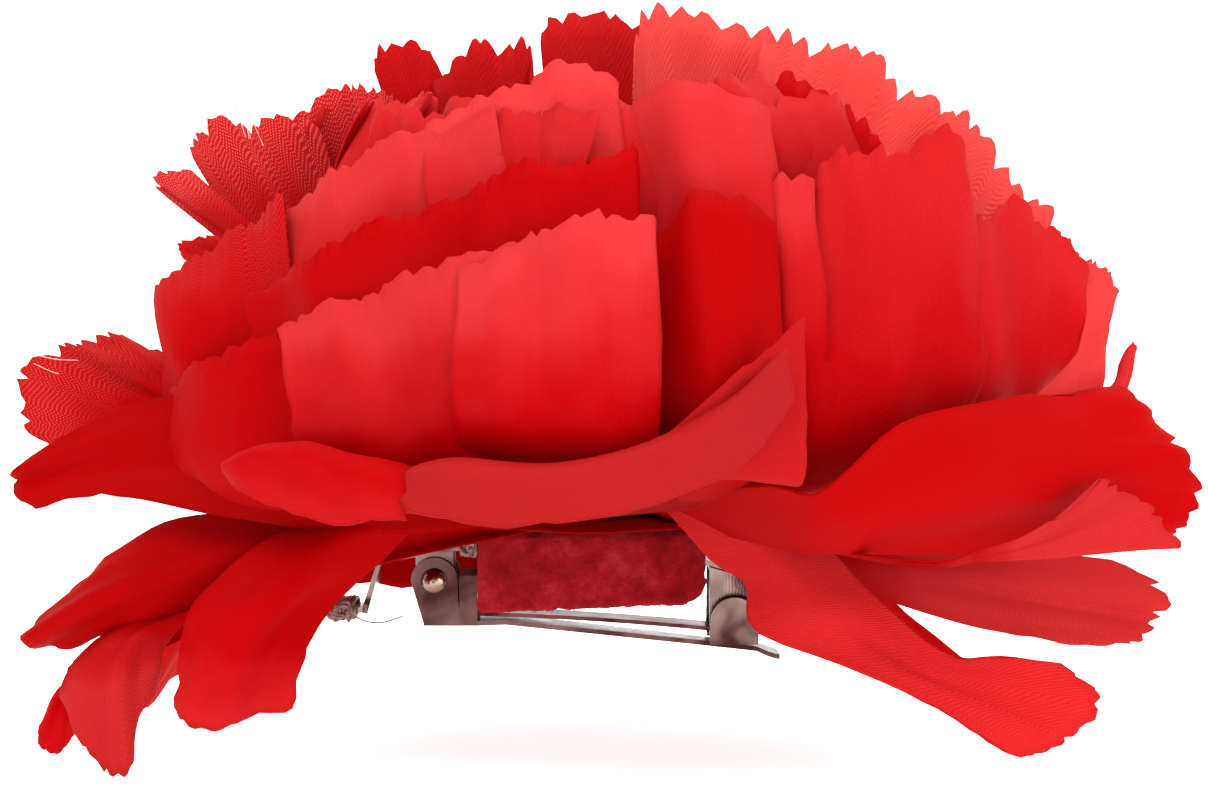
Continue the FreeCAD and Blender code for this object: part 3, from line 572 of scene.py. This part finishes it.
def low_petals():
    """The outer cup: the nearest rows of standing petals, and its far side."""
    row = [
        patch([(-47, -17, 15), (-42.5, -22, 18.2), (-37, -27, 20.4), (-31, -31, 22.4), (-22, -34, 24)],
              [(-44, -22, 6), (-38, -28, 5), (-30, -34, 5.6), (-20, -38, 8)],
              1.5, seed=30, tone=0.10, ruffle=0.7),
        patch([(-33, -30.6, 22), (-27, -34, 25), (-22, -36, 27), (-16, -38.4, 29.2), (-8, -39, 30.4)],
              [(-29, -36, 9), (-20, -41, 9), (-13, -43.4, 10), (-5, -43.4, 12)],
              1.7, seed=31, tone=0.66, ruffle=0.6),
        patch([(-14.4, -39.4, 28.6), (-9, -41, 31.6), (-4.5, -41.8, 33), (0, -41, 34), (5.4, -39, 33.4)],
              [(-14, -44.6, 12), (-7, -47.4, 12), (0, -47.4, 12), (5.2, -45.6, 12)],
              1.9, seed=32, tone=0.74, ruffle=0.5),
        patch([(4.0, -33, 30.6), (7, -35, 34), (10, -36, 35.6), (13.6, -36, 35.6), (17.4, -33, 32.6)],
              [(4, -40, 12), (9, -42, 12), (13, -42, 12), (17.6, -38, 12)],
              1.6, seed=33, tone=0.04, ruffle=0.5, tooth=3.0, tooth_deep=0.3),
        patch([(15.5, -27, 36.4), (18, -28, 38.5), (21.5, -27, 38)],
              [(14, -32, 20), (18, -34, 18), (22, -33, 16)],
              1.7, seed=34, tone=0.60, ruffle=0.5),
        patch([(18.8, -26, 30), (20.6, -26, 37), (25.4, -25, 41.5), (31, -24, 43.6), (35.6, -21, 42.2),
               (38.8, -18, 34)],
              [(18, -33, 13), (24, -33, 12), (31, -30, 12), (38, -24, 14)],
              1.5, seed=35, tone=0.46, ruffle=0.8, waves=1.1, slant=5.0, ribs=0.4, lobes=2.6),
        patch([(34, -21, 30), (39.5, -17, 35.2), (44.3, -13, 36.2), (48.4, -10, 33), (52.5, -8, 28.5)],
              [(31, -28, 13), (38, -23, 12), (44, -17, 13), (49, -12, 16)],
              1.8, seed=36, tone=0.48, ruffle=0.8, waves=1.2, slant=5.0, ribs=0.5, lobes=2.6),
        patch([(-48.3, -8, 19), (-47.8, -9, 27.6), (-44, -12, 30.5), (-39, -15, 33.6), (-33, -18, 36.5)],
              [(-46.4, -12, 12), (-42, -18, 16), (-36, -22, 17), (-30, -25, 18)],
              1.6, seed=37, tone=0.18, ruffle=0.8, tooth=1.8, lobes=2.4, loose=0.12),
    ]
    far = back_petals(arc_of(5, 38, 120), 55, Z0 + 23, 19, "petal_layer_3_low", 3, ruffle=1.2)
    return row + far + back_petals([152], 43, Z0 + 22, 14, "petal_layer_3_low", 8)


def middle_petals():
    """The second cup: the rows behind the nearest ones, and its far side."""
    row = [
        patch([(-38, -22, 25.6), (-31, -28, 28.6), (-26.6, -30, 31), (-21, -32, 33.6),
               (-12, -33.6, 36.6)],
              [(-34, -28, 14), (-26, -34, 15), (-19, -36, 16), (-10, -37, 17)],
              2.6, seed=40, tone=0.06, ruffle=0.6),
        patch([(-19.5, -30, 33.4), (-13, -33, 37), (-8.5, -34, 38.5), (-3, -34, 39.8), (3.6, -32, 40.6)],
              [(-17, -36, 17), (-9, -38.4, 18), (-2, -38.4, 18), (4.4, -37, 18)],
              2.9, seed=41, tone=0.14, ruffle=0.5),
        patch([(-34.6, -17, 33.6), (-30, -20, 37), (-26.7, -22, 38.8), (-22.6, -24, 41.2),
               (-17.9, -26, 43.5), (-10.4, -27.4, 44.6)],
              [(-32, -24, 20), (-25, -29, 21), (-18, -31, 22), (-9, -32, 22)],
              3.2, seed=42, tone=0.70, ruffle=0.6),
        patch([(-18.4, -24.6, 42), (-13.8, -26, 46), (-8.7, -27, 48), (-4.5, -27, 49.4), (1.6, -26, 49)],
              [(-17, -30, 26), (-9, -32.4, 27), (-3, -32.4, 27), (2.8, -32, 27)],
              3.5, seed=43, tone=0.78, ruffle=0.5),
        patch([(1.2, -25, 42), (3.7, -27, 45.4), (8.8, -29, 47), (13.3, -28, 46), (17.8, -26, 44.6)],
              [(3, -33, 22), (8, -35, 22), (13, -35, 22), (18.6, -32, 22)],
              3.4, seed=44, tone=0.66, ruffle=0.7, tooth=3.0, tooth_deep=0.5),
        strip([[(-22, 0, 9), (-22, 1, 13)], [(-38, 3, 26), (-37, 3, 30)],
               [(-51.6, 5, 37.4), (-51.4, 5, 38.8), (-47, 5, 39.4)]],
              3, seed=45, tone=0.6, ruffle=0.4, tooth=1.0, tooth_deep=1.4, ribs=0.6, loose=0.35),
        strip([[(-24, -3, 10), (-23, -2, 13)], [(-38, -2, 22), (-36, -1, 26)],
               [(-48.2, 0, 29.8), (-48.4, 0, 31.4), (-44, 0, 32.2)]],
              3, seed=46, tone=0.4, ruffle=0.3, tooth=1.0, ribs=0.5),
    ]
    far = back_petals(arc_of(5, 26, 128), 46, Z0 + 36, 17, "petal_layer_4_middle", 4, ruffle=1.0)
    return row + far + back_petals([156], 36, Z0 + 34, 12, "petal_layer_4_middle", 9)


def high_petals():
    """The third cup: the skyline, whose inner sides face the viewer, and its far side."""
    row = [
        patch([(-48.2, 8, 41.5), (-47.4, 8, 44.9), (-43.4, 9, 46), (-40, 9, 46.8), (-34, 9, 47.2)],
              [(-37, 6, 24), (-32, 7, 25), (-26, 8, 27)],
              4, seed=50, tone=0.45, tooth=1.8, tooth_deep=1.2, lobes=3.0, ruffle=0.9, ribs=0.4,
              loose=0.36),
        patch([(-36.5, 11, 45), (-31, 12, 50.2), (-28, 12, 50.4), (-24, 12, 48.4)],
              [(-28, 10, 28), (-20, 11, 30)],
              4, seed=51, tone=0.45, tooth=1.6, ruffle=0.6, ribs=0.6, loose=0.3),
        patch([(-27, 13, 51.6), (-26, 13, 54.6), (-21.6, 13, 55.4), (-18.6, 13, 50)],
              [(-20, 12, 30), (-15, 12, 31)],
              4, seed=52, tone=0.30, tooth=2.4, tooth_deep=0.8, lobes=0.8, ruffle=0.4, ribs=0.9),
        patch([(-20.4, 12, 49.5), (-16.4, 12, 55.2), (-12.5, 12, 54.8), (-9, 12, 55), (-8.4, 12, 51)],
              [(-15, 13, 30), (-11, 13, 30), (-6, 13, 30)],
              4, seed=53, tone=0.40, tooth=2.4, tooth_deep=0.9, lobes=1.6, ruffle=0.5, ribs=0.9),
        patch([(-7.8, 17, 55.4), (-6.4, 18, 58.4), (-2, 18, 58.8), (2, 18, 58.8), (6, 18, 58)],
              [(-5, 18, 30), (0, 19, 30), (5, 18, 30)],
              4, seed=54, tone=0.45, tooth=2.6, ruffle=0.4, ribs=0.9),
        patch([(3.4, 12, 56.6), (4.6, 12, 58.8), (9, 12, 59.4), (14.6, 12, 58.8), (21, 11, 57)],
              [(3, 14, 30), (10, 14, 30), (17, 12, 30)],
              4, seed=55, tone=1.0, wash=0.35, tooth=2.6, tooth_deep=1.2, lobes=2.2, ruffle=0.7,
              ribs=0.9),
        patch([(18.0, 8, 55.6), (23.2, 8, 56.4), (28.4, 8, 54.6), (31.9, 8, 53), (36.5, 8, 50.4),
               (42.4, 7, 45.4)],
              [(14, 9, 30), (22, 8, 30), (31, 6, 28)],
              4, seed=56, tone=1.0, wash=0.35, tooth=2.4, tooth_deep=1.2, lobes=2.2, ruffle=0.7,
              ribs=0.9),
        patch([(38.6, 4, 46.6), (43.6, 3, 45), (48.9, 3, 39.2), (52.3, 2, 34.6), (54.6, 2, 30)],
              [(30, 4, 27), (37, 2, 22), (43, 0, 15)],
              4, seed=57, tone=0.95, wash=0.35, tooth=2.2, tooth_deep=1.2, lobes=2.2, ruffle=0.7,
              ribs=0.9),
        patch([(17.4, -11, 44), (19.2, -9, 49.2), (23.0, -9, 48.6), (27.4, -11, 45.4), (30, -13, 41)],
              [(13, -18, 26), (20, -19, 26), (28, -17, 26)],
              4, seed=58, tone=0.10, ruffle=0.4),
    ]
    return row + back_petals(arc_of(5, 45, 138), 35, Z0 + 46, 15, "petal_layer_5_high", 5)


def rings(layer, *sizes):
    """Full rings of petals, each given by its rim's radius and height, half width and count."""
    petals = []
    for number, (rim_r, height, half, count) in enumerate(sizes):
        azimuths = [360 * k / count + 17 * number for k in range(count)]
        petals += back_petals(azimuths, rim_r, Z0 + height, half, layer, 60 + number, ruffle=0.9)
    return petals


def drooping_petals():
    """The lowest layer: lobes that hang to the floor at both sides of the clip."""
    lobes = [
        strip([[(-28, -14, -5), (-29, -17, -1), (-29, -15, 2)],
               [(-42, -16, -9), (-44, -19, -4), (-45, -14, 1.2)],
               [(-51, -16, -11), (-53, -18, -7), (-54, -14, -2.6)],
               [(-58, -14, -14), (-62, -14, -13.2), (-62, -13, -10.5), (-58.8, -12, -6.2)]],
              0, seed=11, tone=0.06, dim=0.92, ruffle=1.0, ribs=0.4),
        strip([[(-28, -12, -3), (-24, -14, -4)], [(-47, -15, -8), (-42, -18, -9)],
               [(-57, -15, -15), (-52, -18, -13.5), (-47, -16, -12)],
               [(-57.4, -15, -19), (-56, -16, -22.5), (-54, -17, -26), (-51, -17, -27.2),
                (-50.4, -16, -21), (-48.2, -15, -17)]],
              0, seed=12, tone=0.60, dim=0.88, wash=0.1, ruffle=0.7, tooth=2.0, ribs=0.7),
        strip([[(-30, -10, -3), (-28, -10, -5)], [(-50, -11, -11), (-47, -12, -13)],
               [(-58.5, -12, -17), (-56, -13, -18.5)],
               [(-61.4, -12, -22), (-61.2, -12, -24.4), (-59, -12, -24.8), (-57, -12, -21.8)]],
              0, seed=13, tone=0.25, ruffle=0.3, tooth=1.2),
        strip([[(-30, -20, 1), (-24, -22, 1.5), (-16, -18, 2)],
               [(-41, -22, -5), (-33, -27, -5), (-23.6, -21, -3)],
               [(-45, -22, -12), (-38, -26, -12), (-30.2, -22.6, -10.5)],
               [(-45.5, -22, -18.6), (-42, -23, -20.4), (-38, -24, -19.6), (-32.4, -23, -18.4)]],
              0, seed=14, tone=0.46, dim=1.0, ruffle=0.9, tooth=2.6, lobes=1.0),
        strip([[(26, -6, -2.6), (28, -8, -5), (29, -8, -8)], [(42, -5, -3), (43, -8, -8), (43, -7, -12)],
               [(57, -4, -4.6), (63.9, -4, -8.4), (62.6, -4, -12.3), (58.3, -4, -13.6), (52, -5, -12.6)]],
              0, seed=15, tone=0.68, dim=0.85, wash=0.5, ruffle=0.7, tooth=2.2, tooth_deep=1.2, ribs=0.8),
        strip([[(5, -14, 3), (12, -18, 3), (20.8, -13, 1.4)],
               [(11.4, -17.4, -3.3), (18, -20, -2), (23.4, -15, -1.6)],
               [(15.0, -18.4, -5.6), (20.6, -20, -5), (25.2, -15, -3.4)],
               [(15.8, -19, -10.4), (23.4, -20, -8.6), (27, -14.5, -5.4)],
               [(25.6, -19, -14.4), (31.4, -15, -9.6)], [(33.5, -19, -18), (37, -15, -13.8)],
               [(41, -20, -23), (43, -17, -18), (43, -15, -13.6)],
               [(44, -19.5, -24), (49, -19, -22.6), (53.8, -17, -18.2), (49, -15, -14.6)]],
              0, seed=16, tone=0.52, dim=1.25, wash=0.9, ruffle=0.4, tooth=2.2, lobes=0.8, ribs=1.0),
        # a short collar over the glue, kept dark as painted shade from the petals above, one behind the
        # hinge, and the far side
        strip([[(-6, -5, 0.3), (6, -5, 0.3)], [(-13, -8, 0.2), (0, -9.5, 0.2), (14, -8, 0.2)],
               [(-16, -10, -0.4), (-5, -12.5, -0.6), (6, -12.5, -0.6), (17, -10, -0.4)]],
              0, seed=10, tone=0.02, dim=0.7, ruffle=0.15, tooth=3.0, tooth_deep=0.3, lobes=0.3),
        strip([[(-16, 8, 0.5), (-12, 9, 0.5)], [(-33, 8, -1.5), (-14, 11, -2)],
               [(-37, 8, -7.2), (-27, 9, -9.0), (-18, 9, -9.4), (-11.5, 10, -8.0)]],
              0, seed=17, tone=0.1, ruffle=0.3, tooth=4.0, tooth_deep=0.4, lobes=0.5),
        strip([[(-20, 20, 0), (-24, 10, -1)], [(-38, 32, -9), (-46, 16, -10)],
               [(-50, 32, -22), (-57, 28, -26.4), (-59, 20, -22)]],
              0, seed=18, tone=0.5, ruffle=1.0),
        strip([[(20, 22, -4), (25, 15, -3)], [(33, 27, -16), (37, 22, -14)],
               [(45, 27, -25), (48, 26, -26.8), (50, 22, -23.6)]],
              0, seed=19, tone=0.5, ruffle=0.6),
    ]
    return lobes


add_layer("petals_drooping", "petal_layer_1_drooping", drooping_petals())
add_layer("petals_spread", "petal_layer_2_spread", spread_petals())
add_layer("petals_low", "petal_layer_3_low", low_petals())
add_layer("petals_middle", "petal_layer_4_middle", middle_petals())
add_layer("petals_high", "petal_layer_5_high", high_petals())
add_layer("petals_inner", "petal_layer_6_inner",
          rings("petal_layer_6_inner", (25, 47, 12.5, 9), (18, 47, 10, 8)))
add_layer("petals_bud", "petal_layer_7_bud",
          rings("petal_layer_7_bud", (12, 46, 8.5, 6), (6, 44, 6, 5)))


# ------------------------------------------------------------------ felt, glue and thread

def mesh_piece(name, vertices, faces, material):
    """An object from points in mm, with one material."""
    mesh = bpy.data.meshes.new(name)
    mesh.from_pydata([Vector(v) * MM for v in vertices], [], faces)
    mesh.polygons.foreach_set("use_smooth", [True] * len(mesh.polygons))
    mesh.materials.append(material)
    piece = bpy.data.objects.new(name, mesh)
    bpy.context.scene.collection.objects.link(piece)
    return piece


def add_felt():
    """The felt saddle: soft folds at its edges, a frayed lower rim and loose fibres."""
    low, high = [Vector(c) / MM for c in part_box("felt_pad")]
    thick = 1.3
    rnd = random.Random(5)
    far_z = low.z + 1.5
    outer_y = high.y
    flap_y = outer_y - thick / 2
    top_z = high.z - thick / 2
    path = [Vector((0, y, z)) for y, z in (
        (-flap_y, low.z), (-flap_y, high.z - 2.2), (-flap_y + 0.6, high.z - 0.9), (-outer_y + 2.2, top_z),
        (0, top_z), (outer_y - 2.2, top_z), (flap_y - 0.6, high.z - 0.9), (flap_y, high.z - 2.2),
        (flap_y, far_z))]
    columns = 72
    rows = 96
    points = []
    for i in range(rows + 1):
        u = i / rows
        for j in range(columns + 1):
            v = j / columns
            spot = blend_points(path, u)
            x = low.x + (high.x - low.x) * v
            side = min(v, 1 - v) * (high.x - low.x)
            # the near hem rises towards the catch, and its corner there is the rounder one
            hem = max(0.0, 1 - u * 6)
            round_off = 2.6 if v > 0.5 else 0.7
            if side < round_off and u < 0.5:
                cut = round_off - math.sqrt(max(0.0, round_off ** 2 - (round_off - side) ** 2))
                spot = spot + Vector((0, 0, cut * hem))
            if u < 0.5:
                spot = spot + Vector((0, 0, (1.05 * v - 0.28) * hem))
            rough = noise.noise(Vector((x * 0.9, u * 30, 2.0)))
            fine = noise.noise(Vector((x * 3.1, u * 90, 7.0)))
            edge = 1.0 if i in (0, rows) else 0.0
            spot = spot + Vector((0, rough * 0.16 + fine * 0.06, fine * 0.10 + edge * rough * 0.25))
            points.append(Vector((x + (0.2 * fine if j in (0, columns) else 0), spot.y, spot.z)))
    wide = columns + 1
    faces = [(i * wide + j, i * wide + j + 1, (i + 1) * wide + j + 1, (i + 1) * wide + j)
             for i in range(rows) for j in range(columns)]
    piece = mesh_piece("felt_saddle", points, faces, FELT)
    solid = piece.modifiers.new("thickness", "SOLIDIFY")
    solid.thickness = thick * 0.85 * MM
    solid.offset = 0
    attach(piece, ROOT)
    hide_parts("felt_pad")
    # loose fibres that stand off the near flap and its cut edge
    points = []
    faces = []
    for number in range(520):
        x = rnd.uniform(low.x + 0.4, high.x - 0.4)
        edge = number % 3 == 0
        z = low.z + (rnd.uniform(-0.05, 0.35) if edge else rnd.uniform(0.3, high.z - low.z - 2.5))
        z += 1.05 * (x - low.x) / (high.x - low.x) - 0.2
        z = max(z, low.z + 3.2 - (high.x - x) if high.x - x < 1.8 else z)
        start = Vector((x, -outer_y + (0.3 if edge else 0.0), z))
        lean = Vector((rnd.uniform(-1, 1), rnd.uniform(-0.7, -0.1), rnd.uniform(-0.9, 0.3))).normalized()
        reach = rnd.uniform(0.25, 0.75)
        bend = Vector((rnd.uniform(-0.2, 0.2), 0, rnd.uniform(-0.2, 0.2)))
        middle = start + lean * (reach * 0.5) + bend
        end = start + lean * reach + bend * 0.5
        across = Vector((-lean.z, 0, lean.x)).normalized() * 0.035
        k = len(points)
        points += [start - across, start + across, middle + across, middle - across, end]
        faces += [(k, k + 1, k + 2, k + 3), (k + 3, k + 2, k + 4)]
    fuzz = mesh_piece("felt_fibres", points, faces, FELT)
    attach(fuzz, ROOT)


def tube(points, radius, sides=8, closed=False):
    """Vertices and faces of a round tube along points."""
    vertices = []
    faces = []
    count = len(points)
    for number, spot in enumerate(points):
        after = points[(number + 1) % count] if closed else points[min(number + 1, count - 1)]
        before = points[number - 1] if closed or number else points[0]
        ahead = (after - before).normalized()
        helper = Vector((1, 0, 0)) if abs(ahead.x) < 0.9 else Vector((0, 0, 1))
        first = ahead.cross(helper).normalized()
        second = ahead.cross(first)
        for k in range(sides):
            a = TAU * k / sides
            vertices.append(spot + (first * math.cos(a) + second * math.sin(a)) * radius)
    for number in range(count if closed else count - 1):
        here = number * sides
        there = ((number + 1) % count) * sides
        for k in range(sides):
            faces.append((here + k, here + (k + 1) % sides, there + (k + 1) % sides, there + k))
    if not closed:
        faces.append(tuple(range(sides)))
        faces.append(tuple(reversed(range((count - 1) * sides, count * sides))))
    return vertices, faces


def joined(tubes):
    """Several tubes as one set of vertices and faces."""
    vertices = []
    faces = []
    for points, polygons in tubes:
        start = len(vertices)
        vertices += points
        faces += [tuple(start + k for k in polygon) for polygon in polygons]
    return vertices, faces


TURN_STEPS = 44
KNOT_STEPS = 14
KNOT_RADIUS = 0.20
TAIL_RADIUS = 0.09
FRAY_RADIUS = 0.05


def add_wrap(node_name, turns, seed, tails=()):
    """Uneven turns of sewing thread in place of one solid wrap, with a knot and loose tails."""
    low, high = [Vector(c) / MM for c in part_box(node_name)]
    middle = (low + high) / 2
    half = (high - low) / 2
    rnd = random.Random(seed)
    radius = (high.x - low.x) / turns * 0.60
    tubes = []
    for number in range(turns):
        x = low.x + radius + (high.x - low.x - 2 * radius) * number / max(1, turns - 1)
        lean = rnd.uniform(-0.5, 0.5) * radius
        swell = rnd.uniform(-0.12, 0.05)
        loop = []
        for k in range(TURN_STEPS):
            a = TAU * k / TURN_STEPS
            c, s = math.cos(a), math.sin(a)
            y = (half.y - radius + swell) * math.copysign(abs(c) ** 0.42, c)
            z = (half.z - radius + swell) * math.copysign(abs(s) ** 0.42, s)
            sway = lean * c + 0.06 * math.sin(3 * a + number)
            loop.append(Vector((x + sway, middle.y + y, middle.z + z)))
        tubes.append(tube(loop, radius, closed=True))
    for number in range(5):
        knot = []
        for k in range(KNOT_STEPS):
            a = TAU * k / KNOT_STEPS
            spot = Vector((math.cos(a) * (0.9 + 0.2 * number), 0.25 * math.sin(2 * a + number),
                           math.sin(a) * (0.45 + 0.12 * number)))
            spot.rotate(Matrix.Rotation(rnd.uniform(-0.8, 0.8), 3, "Y"))
            reach = min(1.0, (high.x - low.x) / 2.6)
            knot.append(Vector((middle.x + spot.x * reach, low.y + 0.1 + spot.y * 0.6,
                                middle.z + spot.z + rnd.uniform(-0.05, 0.05))))
        tubes.append(tube(knot, KNOT_RADIUS, sides=6, closed=True))
    for tail in tails:
        spots = [Vector(spot) for spot in tail]
        tubes.append(tube([blend_points(spots, k / 16) for k in range(17)], TAIL_RADIUS, sides=5))
    piece = mesh_piece(node_name + "_turns", *joined(tubes), THREAD)
    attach(piece, ROOT)
    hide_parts(node_name)


def add_frays():
    """Pale threads that have come loose from the open-woven rims at the flower's left."""
    rnd = random.Random(91)
    tubes = []
    for first, last, inner, count in (((-48, 8, 42), (-40, 8.6, 46.6), (-38, 7.4, 36), 14),
                                      ((-61, 2, 8), (-64, 2.4, 19), (-50, 0.4, 12), 9)):
        for _ in range(count):
            rim = at(*first).lerp(at(*last), rnd.random())
            ahead = (rim - at(*inner)).normalized()
            ahead = (ahead + Vector((rnd.uniform(-0.3, 0.3), 0, rnd.uniform(-0.3, 0.3)))).normalized()
            start = rim - ahead * 4.5
            reach = rnd.uniform(4.0, 6.0)
            bow = Vector((0, -0.3, rnd.uniform(-0.5, 0.5)))
            spots = [start, start + ahead * (reach * 0.5) + bow, start + ahead * reach]
            tubes.append(tube([blend_points(spots, k / 8) for k in range(9)], FRAY_RADIUS, sides=5))
    piece = mesh_piece("frayed_threads", *joined(tubes), FRAY)
    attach(piece, ROOT)


def add_glue():
    """The glue on the felt: a flattened, lumpy puddle."""
    low, high = [Vector(c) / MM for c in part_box("glue_pad")]
    middle = (low + high) / 2
    radius = high.x - middle.x
    circles = 14
    spokes = 64
    points = []
    faces = []
    for side, height in enumerate((low.z, high.z)):
        for i in range(circles + 1):
            for k in range(spokes):
                a = TAU * k / spokes
                share = i / circles
                wobble = 1 + 0.07 * noise.noise(Vector((math.cos(a) * 2, math.sin(a) * 2, 3)))
                r = radius * share * wobble * 0.98
                across = Vector((r * math.cos(a), r * math.sin(a), 0))
                bulge = 0.12 * noise.noise(across * 0.5 + Vector((0, 0, side)))
                sink = 0.45 * share ** 8 * (1 if side == 0 else -1)
                points.append(across + Vector((middle.x, 0, height + bulge + sink)))
    layer = (circles + 1) * spokes
    for i in range(circles):
        for k in range(spokes):
            a = i * spokes + k
            b = i * spokes + (k + 1) % spokes
            faces.append((a, a + spokes, b + spokes, b))
            faces.append((layer + a, layer + b, layer + b + spokes, layer + a + spokes))
    for k in range(spokes):
        a = circles * spokes + k
        b = circles * spokes + (k + 1) % spokes
        faces.append((a, layer + a, layer + b, b))
    piece = mesh_piece("glue_puddle", points, faces, GLUE)
    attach(piece, ROOT)
    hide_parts("glue_pad")


add_felt()
add_wrap("thread_wrap_left", 8, 61,
         [((-28.0, -3.2, 16.6), (-26.4, -3.8, 16.0), (-24.6, -3.9, 15.9), (-22.4, -3.9, 16.6))])
add_wrap("thread_wrap_hinge", 5, 62)
add_wrap("thread_wrap_right", 8, 63)
add_glue()
add_frays()


# ------------------------------------------------------------------ floor, light and camera

def add_stage():
    """A pale floor that curves up behind the object."""
    rows = [(-1.2, 0.0), (0.8, 0.0), (1.1, 0.05), (1.3, 0.25), (1.35, 0.6), (1.35, 2.2)]
    vertices = []
    for y, z in rows:
        vertices += [(-2.5, y, z), (2.5, y, z)]
    faces = [(2 * i, 2 * i + 1, 2 * i + 3, 2 * i + 2) for i in range(len(rows) - 1)]
    mesh = bpy.data.meshes.new("floor")
    mesh.from_pydata(vertices, [], faces)
    mesh.polygons.foreach_set("use_smooth", [True] * len(mesh.polygons))
    floor = bpy.data.objects.new("floor", mesh)
    bpy.context.scene.collection.objects.link(floor)
    material, _, shader = new_material("floor_white")
    shader.inputs["Base Color"].default_value = (0.9, 0.9, 0.9, 1)
    shader.inputs["Roughness"].default_value = 0.8
    shader.inputs["Emission Color"].default_value = (1, 1, 1, 1)
    shader.inputs["Emission Strength"].default_value = 0.60
    mesh.materials.append(material)


def add_light(name, spot, target, size, power):
    """A square area light that faces a target."""
    lamp = bpy.data.lights.new(name, "AREA")
    lamp.size = size
    lamp.energy = power
    holder = bpy.data.objects.new(name, lamp)
    holder.location = spot
    holder.rotation_euler = (Vector(target) - Vector(spot)).to_track_quat("-Z", "Y").to_euler()
    bpy.context.scene.collection.objects.link(holder)


def add_camera():
    """The camera: near level, close to the flower."""
    centre = Vector((0, 0, 0.0405))
    distance = 0.300
    tilt = math.radians(2.5)
    lens = bpy.data.cameras.new("camera")
    lens.sensor_width = 36
    lens.lens = 36 * distance / 0.1357
    lens.clip_start = 0.01
    holder = bpy.data.objects.new("camera", lens)
    holder.location = centre + Vector((0, -math.cos(tilt), math.sin(tilt))) * distance
    holder.rotation_euler = (math.pi / 2 - tilt, 0, 0)
    bpy.context.scene.collection.objects.link(holder)
    bpy.context.scene.camera = holder


add_stage()
add_light("key", (-0.35, -0.55, 0.75), (0, 0, 0.04), 0.6, 7.5)
add_light("top", (0.1, 0.2, 0.9), (0, 0, 0.05), 0.7, 6.0)
add_light("fill", (0.6, -0.5, 0.3), (0, 0, 0.04), 0.6, 4.0)
world = bpy.data.worlds.new("studio")
world.use_nodes = True
world.node_tree.nodes["Background"].inputs["Color"].default_value = (1, 1, 1, 1)
world.node_tree.nodes["Background"].inputs["Strength"].default_value = 0.75
bpy.context.scene.world = world
bpy.context.scene.view_settings.view_transform = "Standard"
add_camera()
